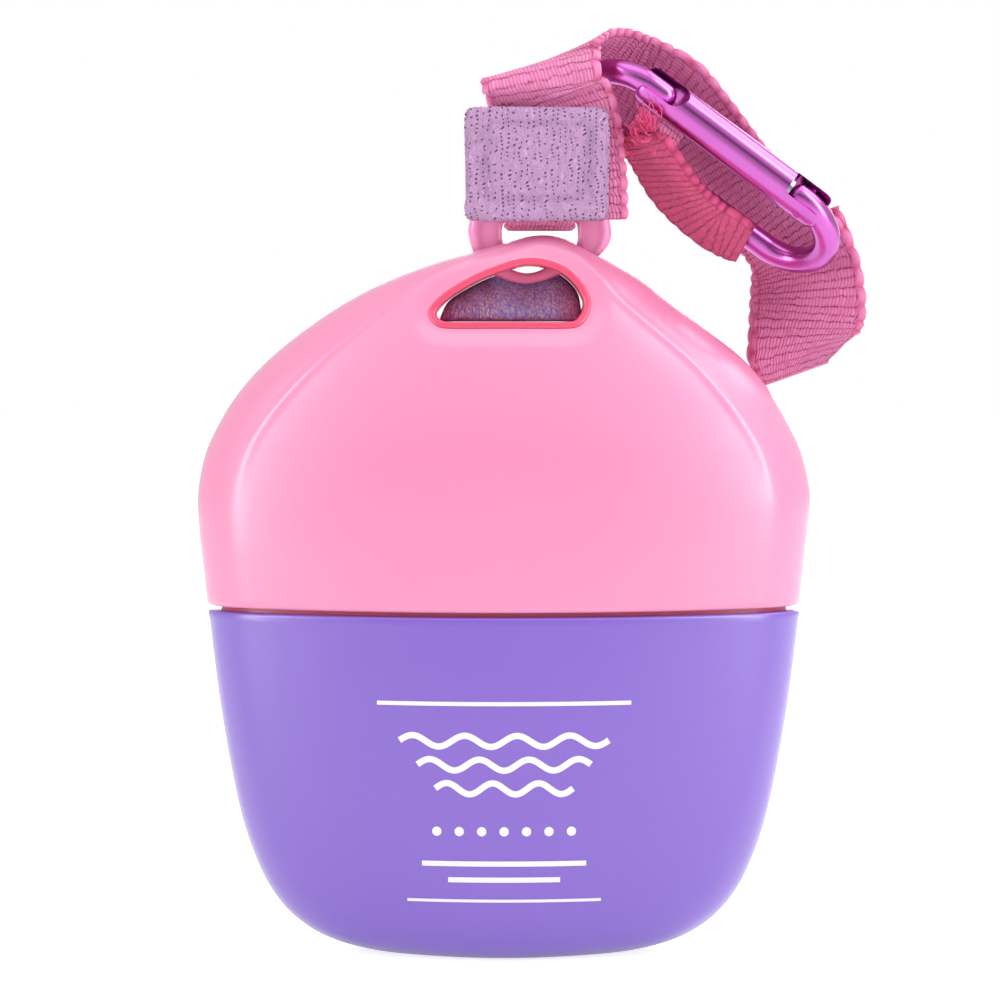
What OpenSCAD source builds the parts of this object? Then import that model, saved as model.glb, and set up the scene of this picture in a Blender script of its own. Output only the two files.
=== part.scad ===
// Pocket lotion bottle with a pull-off cap, a hang ring, a wrist strap and a carabiner.
// The origin is the centre of the base, +Z is up and the front faces -Y.

/* [Bottle] */
// Greatest width of the bottle, over the cap
bottle_w = 84; // [78:1:90]
// Depth from front to back at the parting line
bottle_d = 34; // [32:1:37]
// Height of the body, from the base to its shoulder
body_h = 47.1; // [44:0.1:50]
// Wall of the body
body_wall = 1.4; // [1:0.1:2]
// Open gap between the body and the cap
seam_gap = 0.6; // [0.4:0.1:0.9]

/* [Neck and plug] */
// Room in depth between the collar and the sleeve that closes round the neck
sleeve_room = 1.2; // [0.7:0.1:2.2]
// Height of the neck above the shoulder
neck_h = 11.2; // [10:0.2:12]
// Wall of the neck
neck_wall = 1.7; // [1.4:0.1:2.2]
// Diameter of the hole that the lotion comes out of
orifice_d = 3; // [2.4:0.1:3.6]
// Diameter of the spout round that hole
spout_d = 8; // [7:0.5:9]
// Height of the spout
spout_h = 3.4; // [3:0.1:4]
// Wall of the plug
plug_wall = 1.2; // [1:0.1:1.5]
// Height of the collar above the shoulder
collar_h = 4.2; // [3:0.1:5]
// Wall of the collar
collar_wall = 1.2; // [1:0.1:1.6]

/* [Cap] */
// Height of the cap, from its rim to its top
cap_h = 50.7; // [48:0.1:54]
// Wall of the cap
cap_wall = 1.5; // [1.2:0.1:2]
// Sideways shift of the cap's highest point
apex_shift = 5.2; // [3:0.1:6]
// Width of the window near the top of the cap
window_w = 20; // [18:0.5:21]
// Height of the window
window_h = 7.6; // [7:0.1:8]
// Height of the window's sill below the cap's highest point
window_drop = 11.95; // [11.8:0.05:12.4]
// Wall of the coloured liner in the window
liner_wall = 1; // [0.8:0.1:1.2]

/* [Hang ring] */
// Outer width of the ring
ring_w = 19.5; // [18.5:0.5:20]
// Outer height of the ring
ring_h = 12; // [11.8:0.1:12.4]
// Thickness of the ring from front to back
ring_t = 3.2; // [2.8:0.1:3.4]
// Thickness of the thin lower bow of the ring
bow_t = 1.6; // [1.4:0.1:1.8]
// Angle that the ring can tilt to the front
tilt_front = 10; // [6:1:12]

/* [Strap] */
// Width of the webbing
web_w = 18; // [17:0.5:19]
// Thickness of the webbing
web_t = 1.3; // [1:0.1:1.5]
// Reach of the strap to the right of the ring
strap_reach = 50; // [49:0.5:52]
// Width of the sewn tab
tab_w = 19.5; // [18:0.5:20]
// Height of the sewn tab
tab_h = 15.4; // [14:0.2:16]
// Thickness of the sewn tab
tab_t = 1.9; // [1.6:0.1:2.2]

/* [Carabiner] */
// Diameter of the carabiner's rod
rod_d = 3.6; // [3.4:0.1:3.7]
// Length of the straight part of the rod
spine_l = 25.6; // [25:0.1:26.2]
// Bend radius of the rod, at its middle
bend_r = 6.8; // [6.6:0.1:7.1]
// Diameter of the gate
gate_d = 5.3; // [5.2:0.1:5.6]
// Length of the gate
gate_l = 30.3; // [29.5:0.1:31]
// Turn of the carabiner about its own length
carabiner_turn = 33; // [30:1:36]
// Dip of the carabiner below the level
carabiner_dip = 36.7; // [35:0.1:38]

/* [Hidden] */

cap_pink = [0.996, 0.62, 0.79];
body_violet = [0.60, 0.48, 0.84];
coral = [0.93, 0.33, 0.47];
web_pink = [0.90, 0.45, 0.64];
pile_lilac = [0.91, 0.68, 0.88];
pile_purple = [0.65, 0.45, 0.71];
anodised = [0.90, 0.55, 0.88];

overrun = 1;
touch = 0.02;
tiny = 0.000001;
half_w = bottle_w/2;
half_d = bottle_d/2;
fine = 96;

// Places down the body: height, half width, half depth and ridge place, each as a share
body_shares = [
    [0, 0.36, 0.47, 0.80], [0.012, 0.47, 0.60, 0.80], [0.04, 0.58, 0.71, 0.80], [0.085, 0.668, 0.79, 0.81],
    [0.15, 0.741, 0.85, 0.82], [0.25, 0.805, 0.90, 0.83], [0.42, 0.868, 0.945, 0.84], [0.70, 0.926, 0.985, 0.86],
    [1, 0.968, 1, 0.87]];

// Places up the cap: height, left edge, right edge, half depth and ridge place, each as a share
cap_shares = [
    [0, -0.971, 0.967, 1, 0.87], [0.09, -0.982, 0.978, 1.008, 0.87], [0.19, -0.995, 0.991, 1.005, 0.865],
    [0.30, -1, 1, 0.985, 0.86], [0.41, -0.974, 0.974, 0.935, 0.85], [0.50, -0.923, 0.923, 0.875, 0.83],
    [0.58, -0.859, 0.865, 0.81, 0.80], [0.66, -0.771, 0.783, 0.735, 0.77], [0.742, -0.652, 0.667, 0.65, 0.73],
    [0.823, -0.507, 0.536, 0.565, 0.69], [0.88, -0.375, 0.45, 0.50, 0.67], [0.925, -0.24, 0.362, 0.435, 0.66],
    [0.957, -0.11, 0.293, 0.36, 0.66], [0.982, 0.007, 0.23, 0.27, 0.66], [0.995, 0.07, 0.178, 0.16, 0.66],
    [1, 0.115, 0.132, 0.03, 0.66]];
apex_share = 0.124;

// Profile of one level of the bottle: a crowned face that meets a rounded edge at a soft ridge
function crown(s, ridge) = 1 - (1 - sqrt(1 - ridge*ridge))*pow(s/ridge, 2);
function edge(s) = sqrt(max(1 - s*s, 0));
function soft_min(a, b, k) = min(a, b) - pow(max(k - abs(a - b), 0), 2)/(4*k);
function profile(s, ridge) = soft_min(crown(s, ridge), edge(s), 0.06*s*s + tiny);

// One level is [height, middle, half width, half depth, ridge place]
function level_at(r, inset, count) = [for (k = [0:count - 1])
    let (a = 360*k/count, s = cos(a), side = sin(a) < 0 ? -1 : 1)
    [r[1] + (r[2] - inset)*s, side*(r[3] - inset)*profile(abs(s), r[4]), r[0]]];

// A smooth curve through a list of points, for a place u that counts its points
function curve_step(a, b, c, d, t) =
    0.5*(2*b + (c - a)*t + (2*a - 5*b + 4*c - d)*t*t + (3*b - a - 3*c + d)*t*t*t);
function curve_at(p, u) = let (last = len(p) - 1, i = min(floor(u), last - 1))
    curve_step(p[max(i - 1, 0)], p[i], p[i + 1], p[min(i + 2, last)], u - i);
function loop_at(p, u) = let (n = len(p), i = floor(u))
    curve_step(p[(i + n - 1)%n], p[i%n], p[(i + 1)%n], p[(i + 2)%n], u - i);
function refine(p, parts) = [for (k = [0:(len(p) - 1)*parts]) curve_at(p, k/parts)];
function refine_loop(p, parts) = [for (k = [0:len(p)*parts - 1]) loop_at(p, k/parts)];

// A closed skin over rings of equal count, with both ends closed
module skin(rings) {
    rows = len(rings);
    count = len(rings[0]);
    first = [for (i = [0:2]) [for (p = rings[0]) p[i]]*[for (p = rings[0]) 1]/count];
    last = [for (i = [0:2]) [for (p = rings[rows - 1]) p[i]]*[for (p = rings[0]) 1]/count];
    points = concat([for (r = rings) for (p = r) p], [first, last]);
    sides = [for (i = [0:rows - 2]) for (j = [0:count - 1])
        let (a = i*count + j, b = i*count + (j + 1)%count) each [[a, a + count, b + count], [a, b + count, b]]];
    low = [for (j = [0:count - 1]) [j, (j + 1)%count, rows*count]];
    high = [for (j = [0:count - 1])
        [(rows - 1)*count + (j + 1)%count, (rows - 1)*count + j, rows*count + 1]];
    polyhedron(points = points, faces = concat(sides, low, high));
}

// Body. The neck and the sleeve round it fit inside the collar, which fits inside the cap's rim

slide_gap = 0.3;
sleeve_wall = 1.4;
sleeve_gap = 0.4;
collar_inset = cap_wall + slide_gap;
sleeve_r = cap_shares[0][3]*half_d - collar_inset - collar_wall - sleeve_room;
neck_r = sleeve_r - sleeve_wall - sleeve_gap;
bore_r = neck_r - neck_wall;
function body_rows(parts) = [for (r = refine(body_shares, parts))
    [r[0]*body_h, 0, r[1]*half_w, r[2]*half_d, r[3]]];

module bottle_body() {
    rows = body_rows(2);
    last = len(rows) - 1;
    inner = [for (i = [4:2:last - 2]) rows[i]];
    ceiling = body_h - body_wall;
    color(body_violet) difference() {
        union() {
            skin([for (r = rows) level_at(r, 0, 56)]);
            translate([0, 0, ceiling]) cylinder(h = body_wall + neck_h, r = neck_r, $fn = fine);
            translate([0, 0, body_h]) cylinder(h = bead_h, r1 = neck_r, r2 = neck_r + bead_out, $fn = fine);
        }
        skin(concat([for (r = inner) level_at(r, body_wall, 40)],
            [level_at([ceiling, 0, rows[last][2], rows[last][3], rows[last][4]], body_wall, 40)]));
        translate([0, 0, ceiling - overrun]) cylinder(h = neck_h + body_wall + 2*overrun, r = bore_r, $fn = fine);
    }
}
bead_h = 1;
bead_out = 0.5;

// Collar that guides the cap's rim, seen as a coral line in the gap

rim_level = [0, 0, cap_shares[0][2]*half_w, cap_shares[0][3]*half_d, cap_shares[0][4]];
function flat_points(ring) = [for (p = ring) [p[0], p[1]]];

module shoulder_collar() {
    color(coral) translate([0, 0, body_h]) linear_extrude(height = collar_h) difference() {
        polygon(flat_points(level_at(rim_level, collar_inset, 56)));
        polygon(flat_points(level_at(rim_level, collar_inset + collar_wall, 56)));
    }
}

// Plug with the spout

plug_fit = 0.03;
neck_top = body_h + neck_h;
flange_t = 1.2;
spout_base = neck_top + flange_t;
spout_top = spout_base + spout_h;
plug_depth = 7;

module dispensing_plug() {
    outer_r = bore_r - plug_fit;
    color("white") difference() {
        union() {
            translate([0, 0, neck_top]) cylinder(h = flange_t, r = neck_r, $fn = fine);
            translate([0, 0, neck_top - plug_depth]) cylinder(h = plug_depth + flange_t, r = outer_r, $fn = fine);
            translate([0, 0, spout_base]) cylinder(h = spout_h, d = spout_d, $fn = fine);
        }
        translate([0, 0, neck_top - plug_depth - overrun])
            cylinder(h = plug_depth + overrun, r = outer_r - plug_wall, $fn = fine);
        translate([0, 0, neck_top - overrun])
            cylinder(h = flange_t + spout_h + 2*overrun, d = orifice_d, $fn = fine);
    }
}

// Cap

cap_z = body_h + seam_gap;
cap_top = cap_z + cap_h;
apex_x = apex_shift;
cap_lean = apex_shift - apex_share*half_w;
cavity_shares = [0, 0.09, 0.19, 0.30, 0.41, 0.50, 0.58, 0.65];
function cap_rows(parts) = [for (r = refine(cap_shares, parts))
    let (lean = cap_lean*pow(r[0], 6))
    [cap_z + r[0]*cap_h, (r[1] + r[2])*half_w/2 + lean, (r[2] - r[1])*half_w/2, r[3]*half_d, r[4]]];

window_shift_share = 0.2175;
window_x = apex_x - window_shift_share*window_w;
sill_z = cap_top - window_drop;
// Outline of the window, as shares of its width from its middle and of its height from its sill
window_shares = [
    [-0.5, 0.17], [-0.42, 0.40], [-0.27, 0.65], [-0.11, 0.84], [0.11, 1], [0.31, 0.91], [0.44, 0.64],
    [0.495, 0.32], [0.45, 0.05], [0.36, 0], [0.12, 0], [-0.13, 0], [-0.38, 0], [-0.47, 0.03]];
window_points = refine_loop([for (s = window_shares) [window_x + s[0]*window_w, sill_z + s[1]*window_h]], 3);
// Each point moves out along the outline's own normal
function grown(p, by) = [for (i = [0:len(p) - 1])
    let (n = len(p), d = p[(i + 1)%n] - p[(i + n - 1)%n]) p[i] + by*[-d[1], d[0]]/norm(d)];

module through(points, depth) {
    rotate([90, 0, 0]) linear_extrude(height = depth, center = true) polygon(points);
}

// The ring's outlines in its own plane, as shares of its width and height from its centre
ring_out_shares = [
    [0, 0.5], [0.28, 0.487], [0.45, 0.38], [0.5, 0.14], [0.492, -0.02], [0.43, -0.155], [0.31, -0.285],
    [0.13, -0.40], [0.02, -0.467], [-0.097, -0.5], [-0.215, -0.467], [-0.32, -0.395], [-0.41, -0.27],
    [-0.465, -0.14], [-0.497, 0.02], [-0.5, 0.16], [-0.45, 0.38], [-0.28, 0.487]];
ring_in_shares = [
    [0, 0.225], [0.175, 0.223], [0.25, 0.20], [0.264, 0.12], [0.262, -0.02], [0.235, -0.11], [0.165, -0.20],
    [0.06, -0.29], [0, -0.345], [-0.085, -0.376], [-0.17, -0.35], [-0.225, -0.29], [-0.25, -0.20],
    [-0.257, -0.10], [-0.26, 0], [-0.263, 0.12], [-0.25, 0.20], [-0.175, 0.223]];
function ring_outline(shares) = refine_loop([for (s = shares) [s[0]*ring_w, s[1]*ring_h]], 3);
ring_shift_share = 0.094;
ring_drop_share = 0.0667;
ring_x = apex_x - ring_shift_share*ring_t;
ring_z = cap_top - ring_drop_share*ring_h;
groove_gap = 0.45;
function rounded(a, power) = (a < 0 ? -1 : 1)*pow(abs(a), 2/power);
groove_w = ring_t + 2*groove_gap + 2*(ring_h/2)*sin(tilt_front);

module ring_groove() {
    translate([ring_x, 0, ring_z]) rotate([90, 0, 0])
        linear_extrude(height = groove_w, center = true) difference() {
            polygon(grown(ring_outline(ring_out_shares), groove_gap));
            polygon(grown(ring_outline(ring_in_shares), -groove_gap));
        }
}

post_d = 16;
post_z = spout_top + 3;
spigot_d = 10;
spigot_h = 5;

module cap_shell() {
    rows = cap_rows(2);
    hollow = [for (s = cavity_shares) let (r = cap_row_at(s)) level_at(r, cap_wall, 40)];
    mouth = [for (p = hollow[0]) [p[0], p[1], p[2] - overrun]];
    color(cap_pink) difference() {
        skin([for (r = rows) level_at(r, 0, 56)]);
        difference() {
            skin(concat([mouth], hollow));
            translate([0, 0, post_z]) cylinder(h = cap_h, d = post_d, $fn = fine);
        }
        translate([0, 0, post_z - overrun]) cylinder(h = spigot_h + overrun, d = spigot_d, $fn = fine);
        through(grown(window_points, liner_wall), bottle_d);
        ring_groove();
    }
}
// The cap's level nearest to a height share of its table
function cap_row_at(s) = let (i = max([for (k = [0:len(cap_shares) - 2]) cap_shares[k][0] <= s ? k : 0]),
    a = cap_shares[i], b = cap_shares[i + 1], r = a + (b - a)*(s - a[0])/(b[0] - a[0]))
    [cap_z + r[0]*cap_h, (r[1] + r[2])*half_w/2, (r[2] - r[1])*half_w/2, r[3]*half_d, r[4]];

// Inner cap that closes the spout

pin_fit = 0.06;
disc_t = 1.4;
seal_t = 1;
seal_gap = 0.1;
sleeve_drop = 8;
disc_z = spout_top + seal_gap + seal_t;

module inner_cap() {
    pin_l = seal_t + seal_gap + spout_h*0.6;
    color(coral) {
        difference() {
            translate([0, 0, neck_top - sleeve_drop])
                cylinder(h = disc_z + disc_t - neck_top + sleeve_drop, r = sleeve_r, $fn = fine);
            translate([0, 0, neck_top - sleeve_drop - overrun])
                cylinder(h = disc_z - neck_top + sleeve_drop + overrun, r = sleeve_r - sleeve_wall, $fn = fine);
        }
        translate([0, 0, disc_z - pin_l]) cylinder(h = pin_l, d = orifice_d - 2*pin_fit, $fn = fine);
        translate([0, 0, disc_z + disc_t]) cylinder(h = post_z - disc_z - disc_t, d = post_d, $fn = fine);
        translate([0, 0, post_z]) cylinder(h = spigot_h - touch, d = spigot_d - 2*touch, $fn = fine);
    }
}

module seal_ring() {
    color("white") translate([0, 0, spout_top + seal_gap]) difference() {
        cylinder(h = seal_t, d = spout_d, $fn = fine);
        translate([0, 0, -overrun]) cylinder(h = seal_t + 2*overrun, d = orifice_d, $fn = fine);
    }
}

// Coloured liner of the window

module window_liner() {
    color(coral) difference() {
        intersection() {
            skin([for (r = cap_rows(1)) level_at(r, touch, 56)]);
            through(grown(window_points, liner_wall - touch), bottle_d);
        }
        through(window_points, bottle_d + overrun);
        ring_groove();
    }
}

// Folded pile pad that fills the window below the ring

pad_gap = 0.3;
pad_lean = 0.8;
pad_back = 0.19*half_d;
// Places across the pad: place across the window, top and half depth, as shares of the window and its height
pad_shares = [
    [-0.445, 0.21, 0.11], [-0.415, 0.32, 0.27], [-0.30, 0.56, 0.38], [-0.15, 0.73, 0.42], [0.02, 0.79, 0.42],
    [0.18, 0.84, 0.42], [0.31, 0.80, 0.40], [0.40, 0.61, 0.34], [0.45, 0.35, 0.16]];
fold_count = 7;

module window_pad() {
    rings = [for (p = refine(pad_shares, 5))
        let (top = p[1]*window_h, low = pad_gap, half = (top - low)/2, deep = p[2]*window_h,
            fold = 1 + 0.08*cos(360*fold_count*p[0]))
        [for (k = [0:19]) let (a = 360*k/20, up = rounded(sin(a), 2.3), out = rounded(cos(a), 2.3)*fold)
            [window_x + p[0]*window_w, pad_back + deep*out + pad_lean*half*up, sill_z + low + half + half*up]]];
    color(pile_purple) skin(rings);
}

// Hang ring

module hang_ring() {
    outer = ring_outline(ring_out_shares);
    inner = ring_outline(ring_in_shares);
    rings = [for (k = [0:len(outer) - 1]) let (mid = (outer[k] + inner[k])/2, half = (outer[k] - inner[k])/2,
            low = min(max(ring_h*0.1 - mid[1], 0)/(ring_h*0.5), 1), thick = ring_t + (bow_t - ring_t)*low)
        [for (j = [0:11]) let (a = 360*j/12, out = rounded(cos(a), 2.6), side = rounded(sin(a), 2.6))
            [mid[0] + half[0]*out, -thick/2*side, mid[1] + half[1]*out]]];
    color(web_pink) translate([ring_x, 0, ring_z]) tube_loop(rings);
}

// A skin that closes on itself, as on a ring
module tube_loop(rings) {
    rows = len(rings);
    count = len(rings[0]);
    faces = [for (i = [0:rows - 1]) for (j = [0:count - 1])
        let (m = (i + 1)%rows, n = (j + 1)%count, a = i*count + j, b = i*count + n, c = m*count + n, d = m*count + j)
        each [[a, b, c], [a, c, d]]];
    polyhedron(points = [for (r = rings) for (p = r) p], faces = faces);
}

// Webbing that wraps the top bar of the ring

bar_gap = 0.4;
bar_half = ring_h*(ring_out_shares[0][1] - ring_in_shares[0][1])/2;
bar_z = ring_z + ring_h/2 - bar_half;
wrap_in = bar_half + bar_gap;
wrap_t_share = 0.85;
wrap_w_share = 0.462;
wrap_out = wrap_in + wrap_t_share*web_t;
wrap_w = wrap_w_share*ring_w;
stack_half = web_t;
wrap_top = bar_z + tab_h*0.55;

module ring_webbing() {
    color(web_pink) translate([ring_x, 0, 0]) rotate([90, 0, 90])
        linear_extrude(height = wrap_w, center = true) difference() {
            union() {
                translate([0, bar_z]) circle(r = wrap_out, $fn = 48);
                polygon([[-wrap_out*0.94, bar_z + wrap_out*0.3], [wrap_out*0.94, bar_z + wrap_out*0.3],
                    [stack_half, bar_z + wrap_out*1.9], [stack_half, wrap_top], [-stack_half, wrap_top],
                    [-stack_half, bar_z + wrap_out*1.9]]);
            }
            translate([0, bar_z]) circle(r = wrap_in, $fn = 48);
        }
}

// Sewn tab and the webbing behind it

tab_shift_share = 0.0256;
tab_drop_share = 0.1234;
tab_x = ring_x - tab_shift_share*tab_w;
tab_low = bar_z - tab_drop_share*tab_h;
layer_gap = 0.25;
tab_gap = 0.12;
tab_back_y = -wrap_out - layer_gap;
backing_y = tab_back_y - web_t;

module slab(width, height, thick, corner) {
    rotate([90, 0, 0]) linear_extrude(height = thick) polygon(
        [for (q = [[1, 1], [-1, 1], [-1, -1], [1, -1]], k = [0:4])
            let (turn = q == [1, 1] ? 0 : q == [-1, 1] ? 90 : q == [-1, -1] ? 180 : 270, a = turn + 90*k/4)
            [q[0]*(width/2 - corner) + corner*cos(a), height/2 + q[1]*(height/2 - corner) + corner*sin(a)]]);
}

module pile_tab() {
    color(pile_lilac) translate([tab_x, backing_y - tab_gap, tab_low])
        slab(tab_w, tab_h, tab_t, tab_t*0.6);
}

// Wrist strap: a long band of webbing. Each place is [right of the ring, back, above the bar] as shares of
// the reach, then the direction across the band, then how wide it lies there as a share of its width
strap_shares = [
    [[0.060, -0.081, -0.035], [1.00, 0.00, 0.00], 1],
    [[0.058, -0.081, 0.071], [1.00, 0.00, 0.00], 1],
    [[0.048, -0.081, 0.201], [1.00, 0.00, 0.00], 0.98],
    [[0.032, -0.080, 0.275], [1.00, -0.03, -0.02], 0.95],
    [[0.014, -0.102, 0.309], [0.99, -0.12, 0.02], 0.92],
    [[0.004, -0.124, 0.339], [0.98, -0.16, 0.14], 0.92],
    [[0.000, -0.108, 0.371], [0.96, -0.13, 0.23], 0.94],
    [[0.009, -0.058, 0.387], [0.94, -0.11, 0.31], 0.97],
    [[0.044, 0.000, 0.393], [0.92, -0.18, 0.35], 1],
    [[0.094, 0.052, 0.393], [0.86, -0.31, 0.41], 1],
    [[0.154, 0.094, 0.379], [0.76, -0.43, 0.49], 1],
    [[0.222, 0.120, 0.353], [0.64, -0.54, 0.55], 1],
    [[0.292, 0.128, 0.323], [0.53, -0.60, 0.60], 1],
    [[0.355, 0.134, 0.289], [0.46, -0.64, 0.61], 1],
    [[0.437, 0.144, 0.203], [0.47, -0.71, 0.52], 1],
    [[0.529, 0.164, 0.093], [0.49, -0.74, 0.46], 1],
    [[0.621, 0.184, 0.005], [0.55, -0.72, 0.42], 1],
    [[0.695, 0.196, -0.069], [0.63, -0.70, 0.35], 1],
    [[0.743, 0.200, -0.153], [0.73, -0.62, 0.27], 1],
    [[0.756, 0.198, -0.251], [0.83, -0.52, 0.21], 1],
    [[0.748, 0.204, -0.327], [0.90, -0.31, 0.29], 1],
    [[0.732, 0.220, -0.395], [0.93, -0.05, 0.37], 1],
    [[0.722, 0.248, -0.429], [0.91, 0.08, 0.40], 1],
    [[0.726, 0.278, -0.399], [0.92, -0.05, 0.39], 1],
    [[0.740, 0.278, -0.327], [0.90, -0.31, 0.31], 1],
    [[0.750, 0.274, -0.239], [0.83, -0.52, 0.21], 1],
    [[0.742, 0.268, -0.127], [0.72, -0.63, 0.28], 1],
    [[0.710, 0.272, -0.039], [0.64, -0.67, 0.38], 1]];
// Keeper band in front of the spine, in the same form
keeper_shares = [
    [[0.264, -0.086, 0.201], [0.50, -0.74, 0.45], 0.38],
    [[0.274, -0.072, 0.181], [0.44, -0.80, 0.40], 0.48],
    [[0.310, -0.046, 0.139], [0.40, -0.86, 0.30], 0.56],
    [[0.380, 0.016, 0.041], [0.38, -0.88, 0.28], 0.66],
    [[0.462, 0.046, -0.035], [0.38, -0.88, 0.28], 0.68],
    [[0.550, 0.038, -0.089], [0.33, -0.88, 0.34], 0.64],
    [[0.616, 0.034, -0.121], [0.35, -0.85, 0.40], 0.5]];
strap_parts = 3;
function unit(v) = v/norm(v);
function web_rings(shares) = let (last = (len(shares) - 1)*strap_parts,
        mid = refine([for (s = shares) [ring_x, 0, bar_z] + s[0]*strap_reach], strap_parts),
        rough = refine([for (s = shares) s[1]], strap_parts),
        wide = refine([for (s = shares) [s[2], 0]], strap_parts))
    [for (k = [0:last])
        let (ahead = unit(mid[min(k + 1, last)] - mid[max(k - 1, 0)]),
            side = unit(rough[k] - (rough[k]*ahead)*ahead), up = cross(ahead, side),
            w = web_w*wide[k][0]/2, t = web_t/2)
        [for (c = [[-1, 0], [-0.94, -1], [0, -1], [0.94, -1], [1, 0], [0.94, 1], [0, 1], [-0.94, 1]])
            mid[k] + c[0]*w*side + c[1]*t*up]];

module strap_webbing() {
    color(web_pink) skin(web_rings(strap_shares));
}

module keeper_webbing() {
    color(web_pink) skin(web_rings(keeper_shares));
}

// Tack of folded webbing that joins the two bands through the eye of the carabiner
module sewn_tack() {
    color(web_pink) in_carabiner() translate([tack_x, tack_y, tack_z]) cube([tack_l, tack_t, tack_h]);
}

// Carabiner. In its own frame the gate lies along X, Y points across to the spine and Z is its pivot's axis

// Place of the gate's nose end from the ring's bar, as shares of the strap's reach
gate_shares = [0.279, -0.092, 0.342];
gate_x = ring_x + gate_shares[0]*strap_reach;
gate_y = gate_shares[1]*strap_reach;
gate_z = bar_z + gate_shares[2]*strap_reach;
module in_carabiner() {
    translate([gate_x, gate_y, gate_z]) rotate([-carabiner_turn, carabiner_dip, 0]) children();
}
// Places along the gate as shares of its length
nose_bend_share = 0.0429;
nose_end_share = 0.1122;
nose_slot_share = 0.2145;
notch_share = 0.0627;
tack_place_share = 0.165;
tack_long_share = 0.132;
// Sizes at the hinge as shares of the rod's diameter
pivot_share = 0.1429;
hinge_slot_share = 0.7222;
heel_share = 0.7;
latch_sink_share = 0.1;
nose_bend = nose_bend_share*gate_l;
hinge_bend = nose_bend + spine_l;
slot_gap = 0.2;
slot_w = rod_d + 2*slot_gap;
nose_slot = nose_slot_share*gate_l;
hinge_slot = hinge_bend - hinge_slot_share*rod_d;
rivet_d = 1.2;
rivet_fit = 0.04;
pivot_x = hinge_bend + pivot_share*rod_d;
notch_x = notch_share*gate_l;
heel = heel_share*rod_d;
latch_d = 1.1;
latch_y = rod_d/2 + latch_d/2 - latch_sink_share*rod_d;
gate_bore = 3.4;
well_end = 0.9;
// Place and size of the tack as shares of the bend's radius, the webbing's thickness and its width
tack_out_share = 1.397;
tack_t_share = 1.308;
tack_drop_share = 0.161;
tack_wide_share = 0.422;
tack_x = tack_place_share*gate_l;
tack_l = tack_long_share*gate_l;
tack_t = tack_t_share*web_t;
tack_y = tack_out_share*bend_r;
tack_z = -tack_drop_share*web_w;
tack_h = tack_wide_share*web_w;

module half_bend(angle) {
    rotate([0, 0, angle]) rotate_extrude(angle = 180, $fn = fine)
        translate([bend_r, 0]) circle(d = rod_d, $fn = 32);
}

module rod(length) {
    rotate([0, 90, 0]) cylinder(h = length, d = rod_d, $fn = 32);
}

module carabiner_frame() {
    nose_l = (nose_end_share - nose_bend_share)*gate_l;
    color(anodised) in_carabiner() difference() {
        translate([nose_bend, bend_r, 0]) {
            half_bend(90);
            translate([0, bend_r, 0]) rod(spine_l);
            translate([0, -bend_r, 0]) rod(nose_l);
            translate([0, -bend_r, 0]) translate([nose_l, 0, 0]) scale(rod_d/2) sphere(r = 1, $fn = 32);
            translate([spine_l, 0, 0]) half_bend(270);
            translate([spine_l, 0, 0]) translate([0, -bend_r, 0]) rotate([0, 0, 180])
                rod((heel_share - pivot_share)*rod_d + overrun);
        }
        difference() {
            translate([pivot_x - heel - 2*overrun, -rod_d, -rod_d]) cube([heel/2 + 2*overrun, 2*rod_d, 2*rod_d]);
            translate([pivot_x, 0, -2*rod_d]) cylinder(h = 4*rod_d, r = heel, $fn = 64);
        }
        translate([pivot_x, 0, -rod_d]) cylinder(h = 2*rod_d, d = rivet_d + 2*rivet_fit, $fn = 32);
        translate([notch_x, latch_y, -rod_d]) cylinder(h = 2*rod_d, d = latch_d + 2*slot_gap, $fn = 32);
    }
}

module gate_sleeve() {
    color(anodised) in_carabiner() difference() {
        rotate([0, 90, 0]) cylinder(h = gate_l, d = gate_d, $fn = 48);
        translate([-overrun, -gate_d, -slot_w/2]) cube([nose_slot - slot_w/2 + overrun, 2*gate_d, slot_w]);
        translate([nose_slot - slot_w/2, 0, 0]) rotate([90, 0, 0])
            cylinder(h = 2*gate_d, d = slot_w, center = true, $fn = 32);
        translate([hinge_slot, -gate_d, -slot_w/2]) cube([gate_l - hinge_slot + overrun, 2*gate_d, slot_w]);
        translate([nose_slot + well_end, 0, 0]) rotate([0, 90, 0])
            cylinder(h = hinge_slot - nose_slot, d = gate_bore, $fn = 32);
        translate([pivot_x, 0, -gate_d]) cylinder(h = 2*gate_d, d = rivet_d, $fn = 32);
        translate([notch_x, latch_y, -gate_d]) cylinder(h = 2*gate_d, d = latch_d, $fn = 32);
    }
}

tine_reach = sqrt(gate_d*gate_d/4 - latch_y*latch_y);

module gate_rivet() {
    color(anodised) in_carabiner() translate([pivot_x, 0, -gate_d/2])
        cylinder(h = gate_d, d = rivet_d - 2*touch, $fn = 32);
}

module latch_pin() {
    color(anodised) in_carabiner() translate([notch_x, latch_y, -tine_reach])
        cylinder(h = 2*tine_reach, d = latch_d - 2*touch, $fn = 32);
}

// Plunger and spring inside the gate. The rod's end is round about the pivot, and the plunger bears on it

plunger_l = 3;
plunger_gap = 0.06;
plunger_face = pivot_x - heel - plunger_gap;
plunger_d = gate_bore - 0.2;
wire_d = 0.45;
spring_turns = 9;

module gate_plunger() {
    color("silver") in_carabiner() {
        translate([plunger_face - plunger_l, 0, 0]) rotate([0, 90, 0]) cylinder(h = plunger_l, d = plunger_d, $fn = 32);
    }
}

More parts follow.
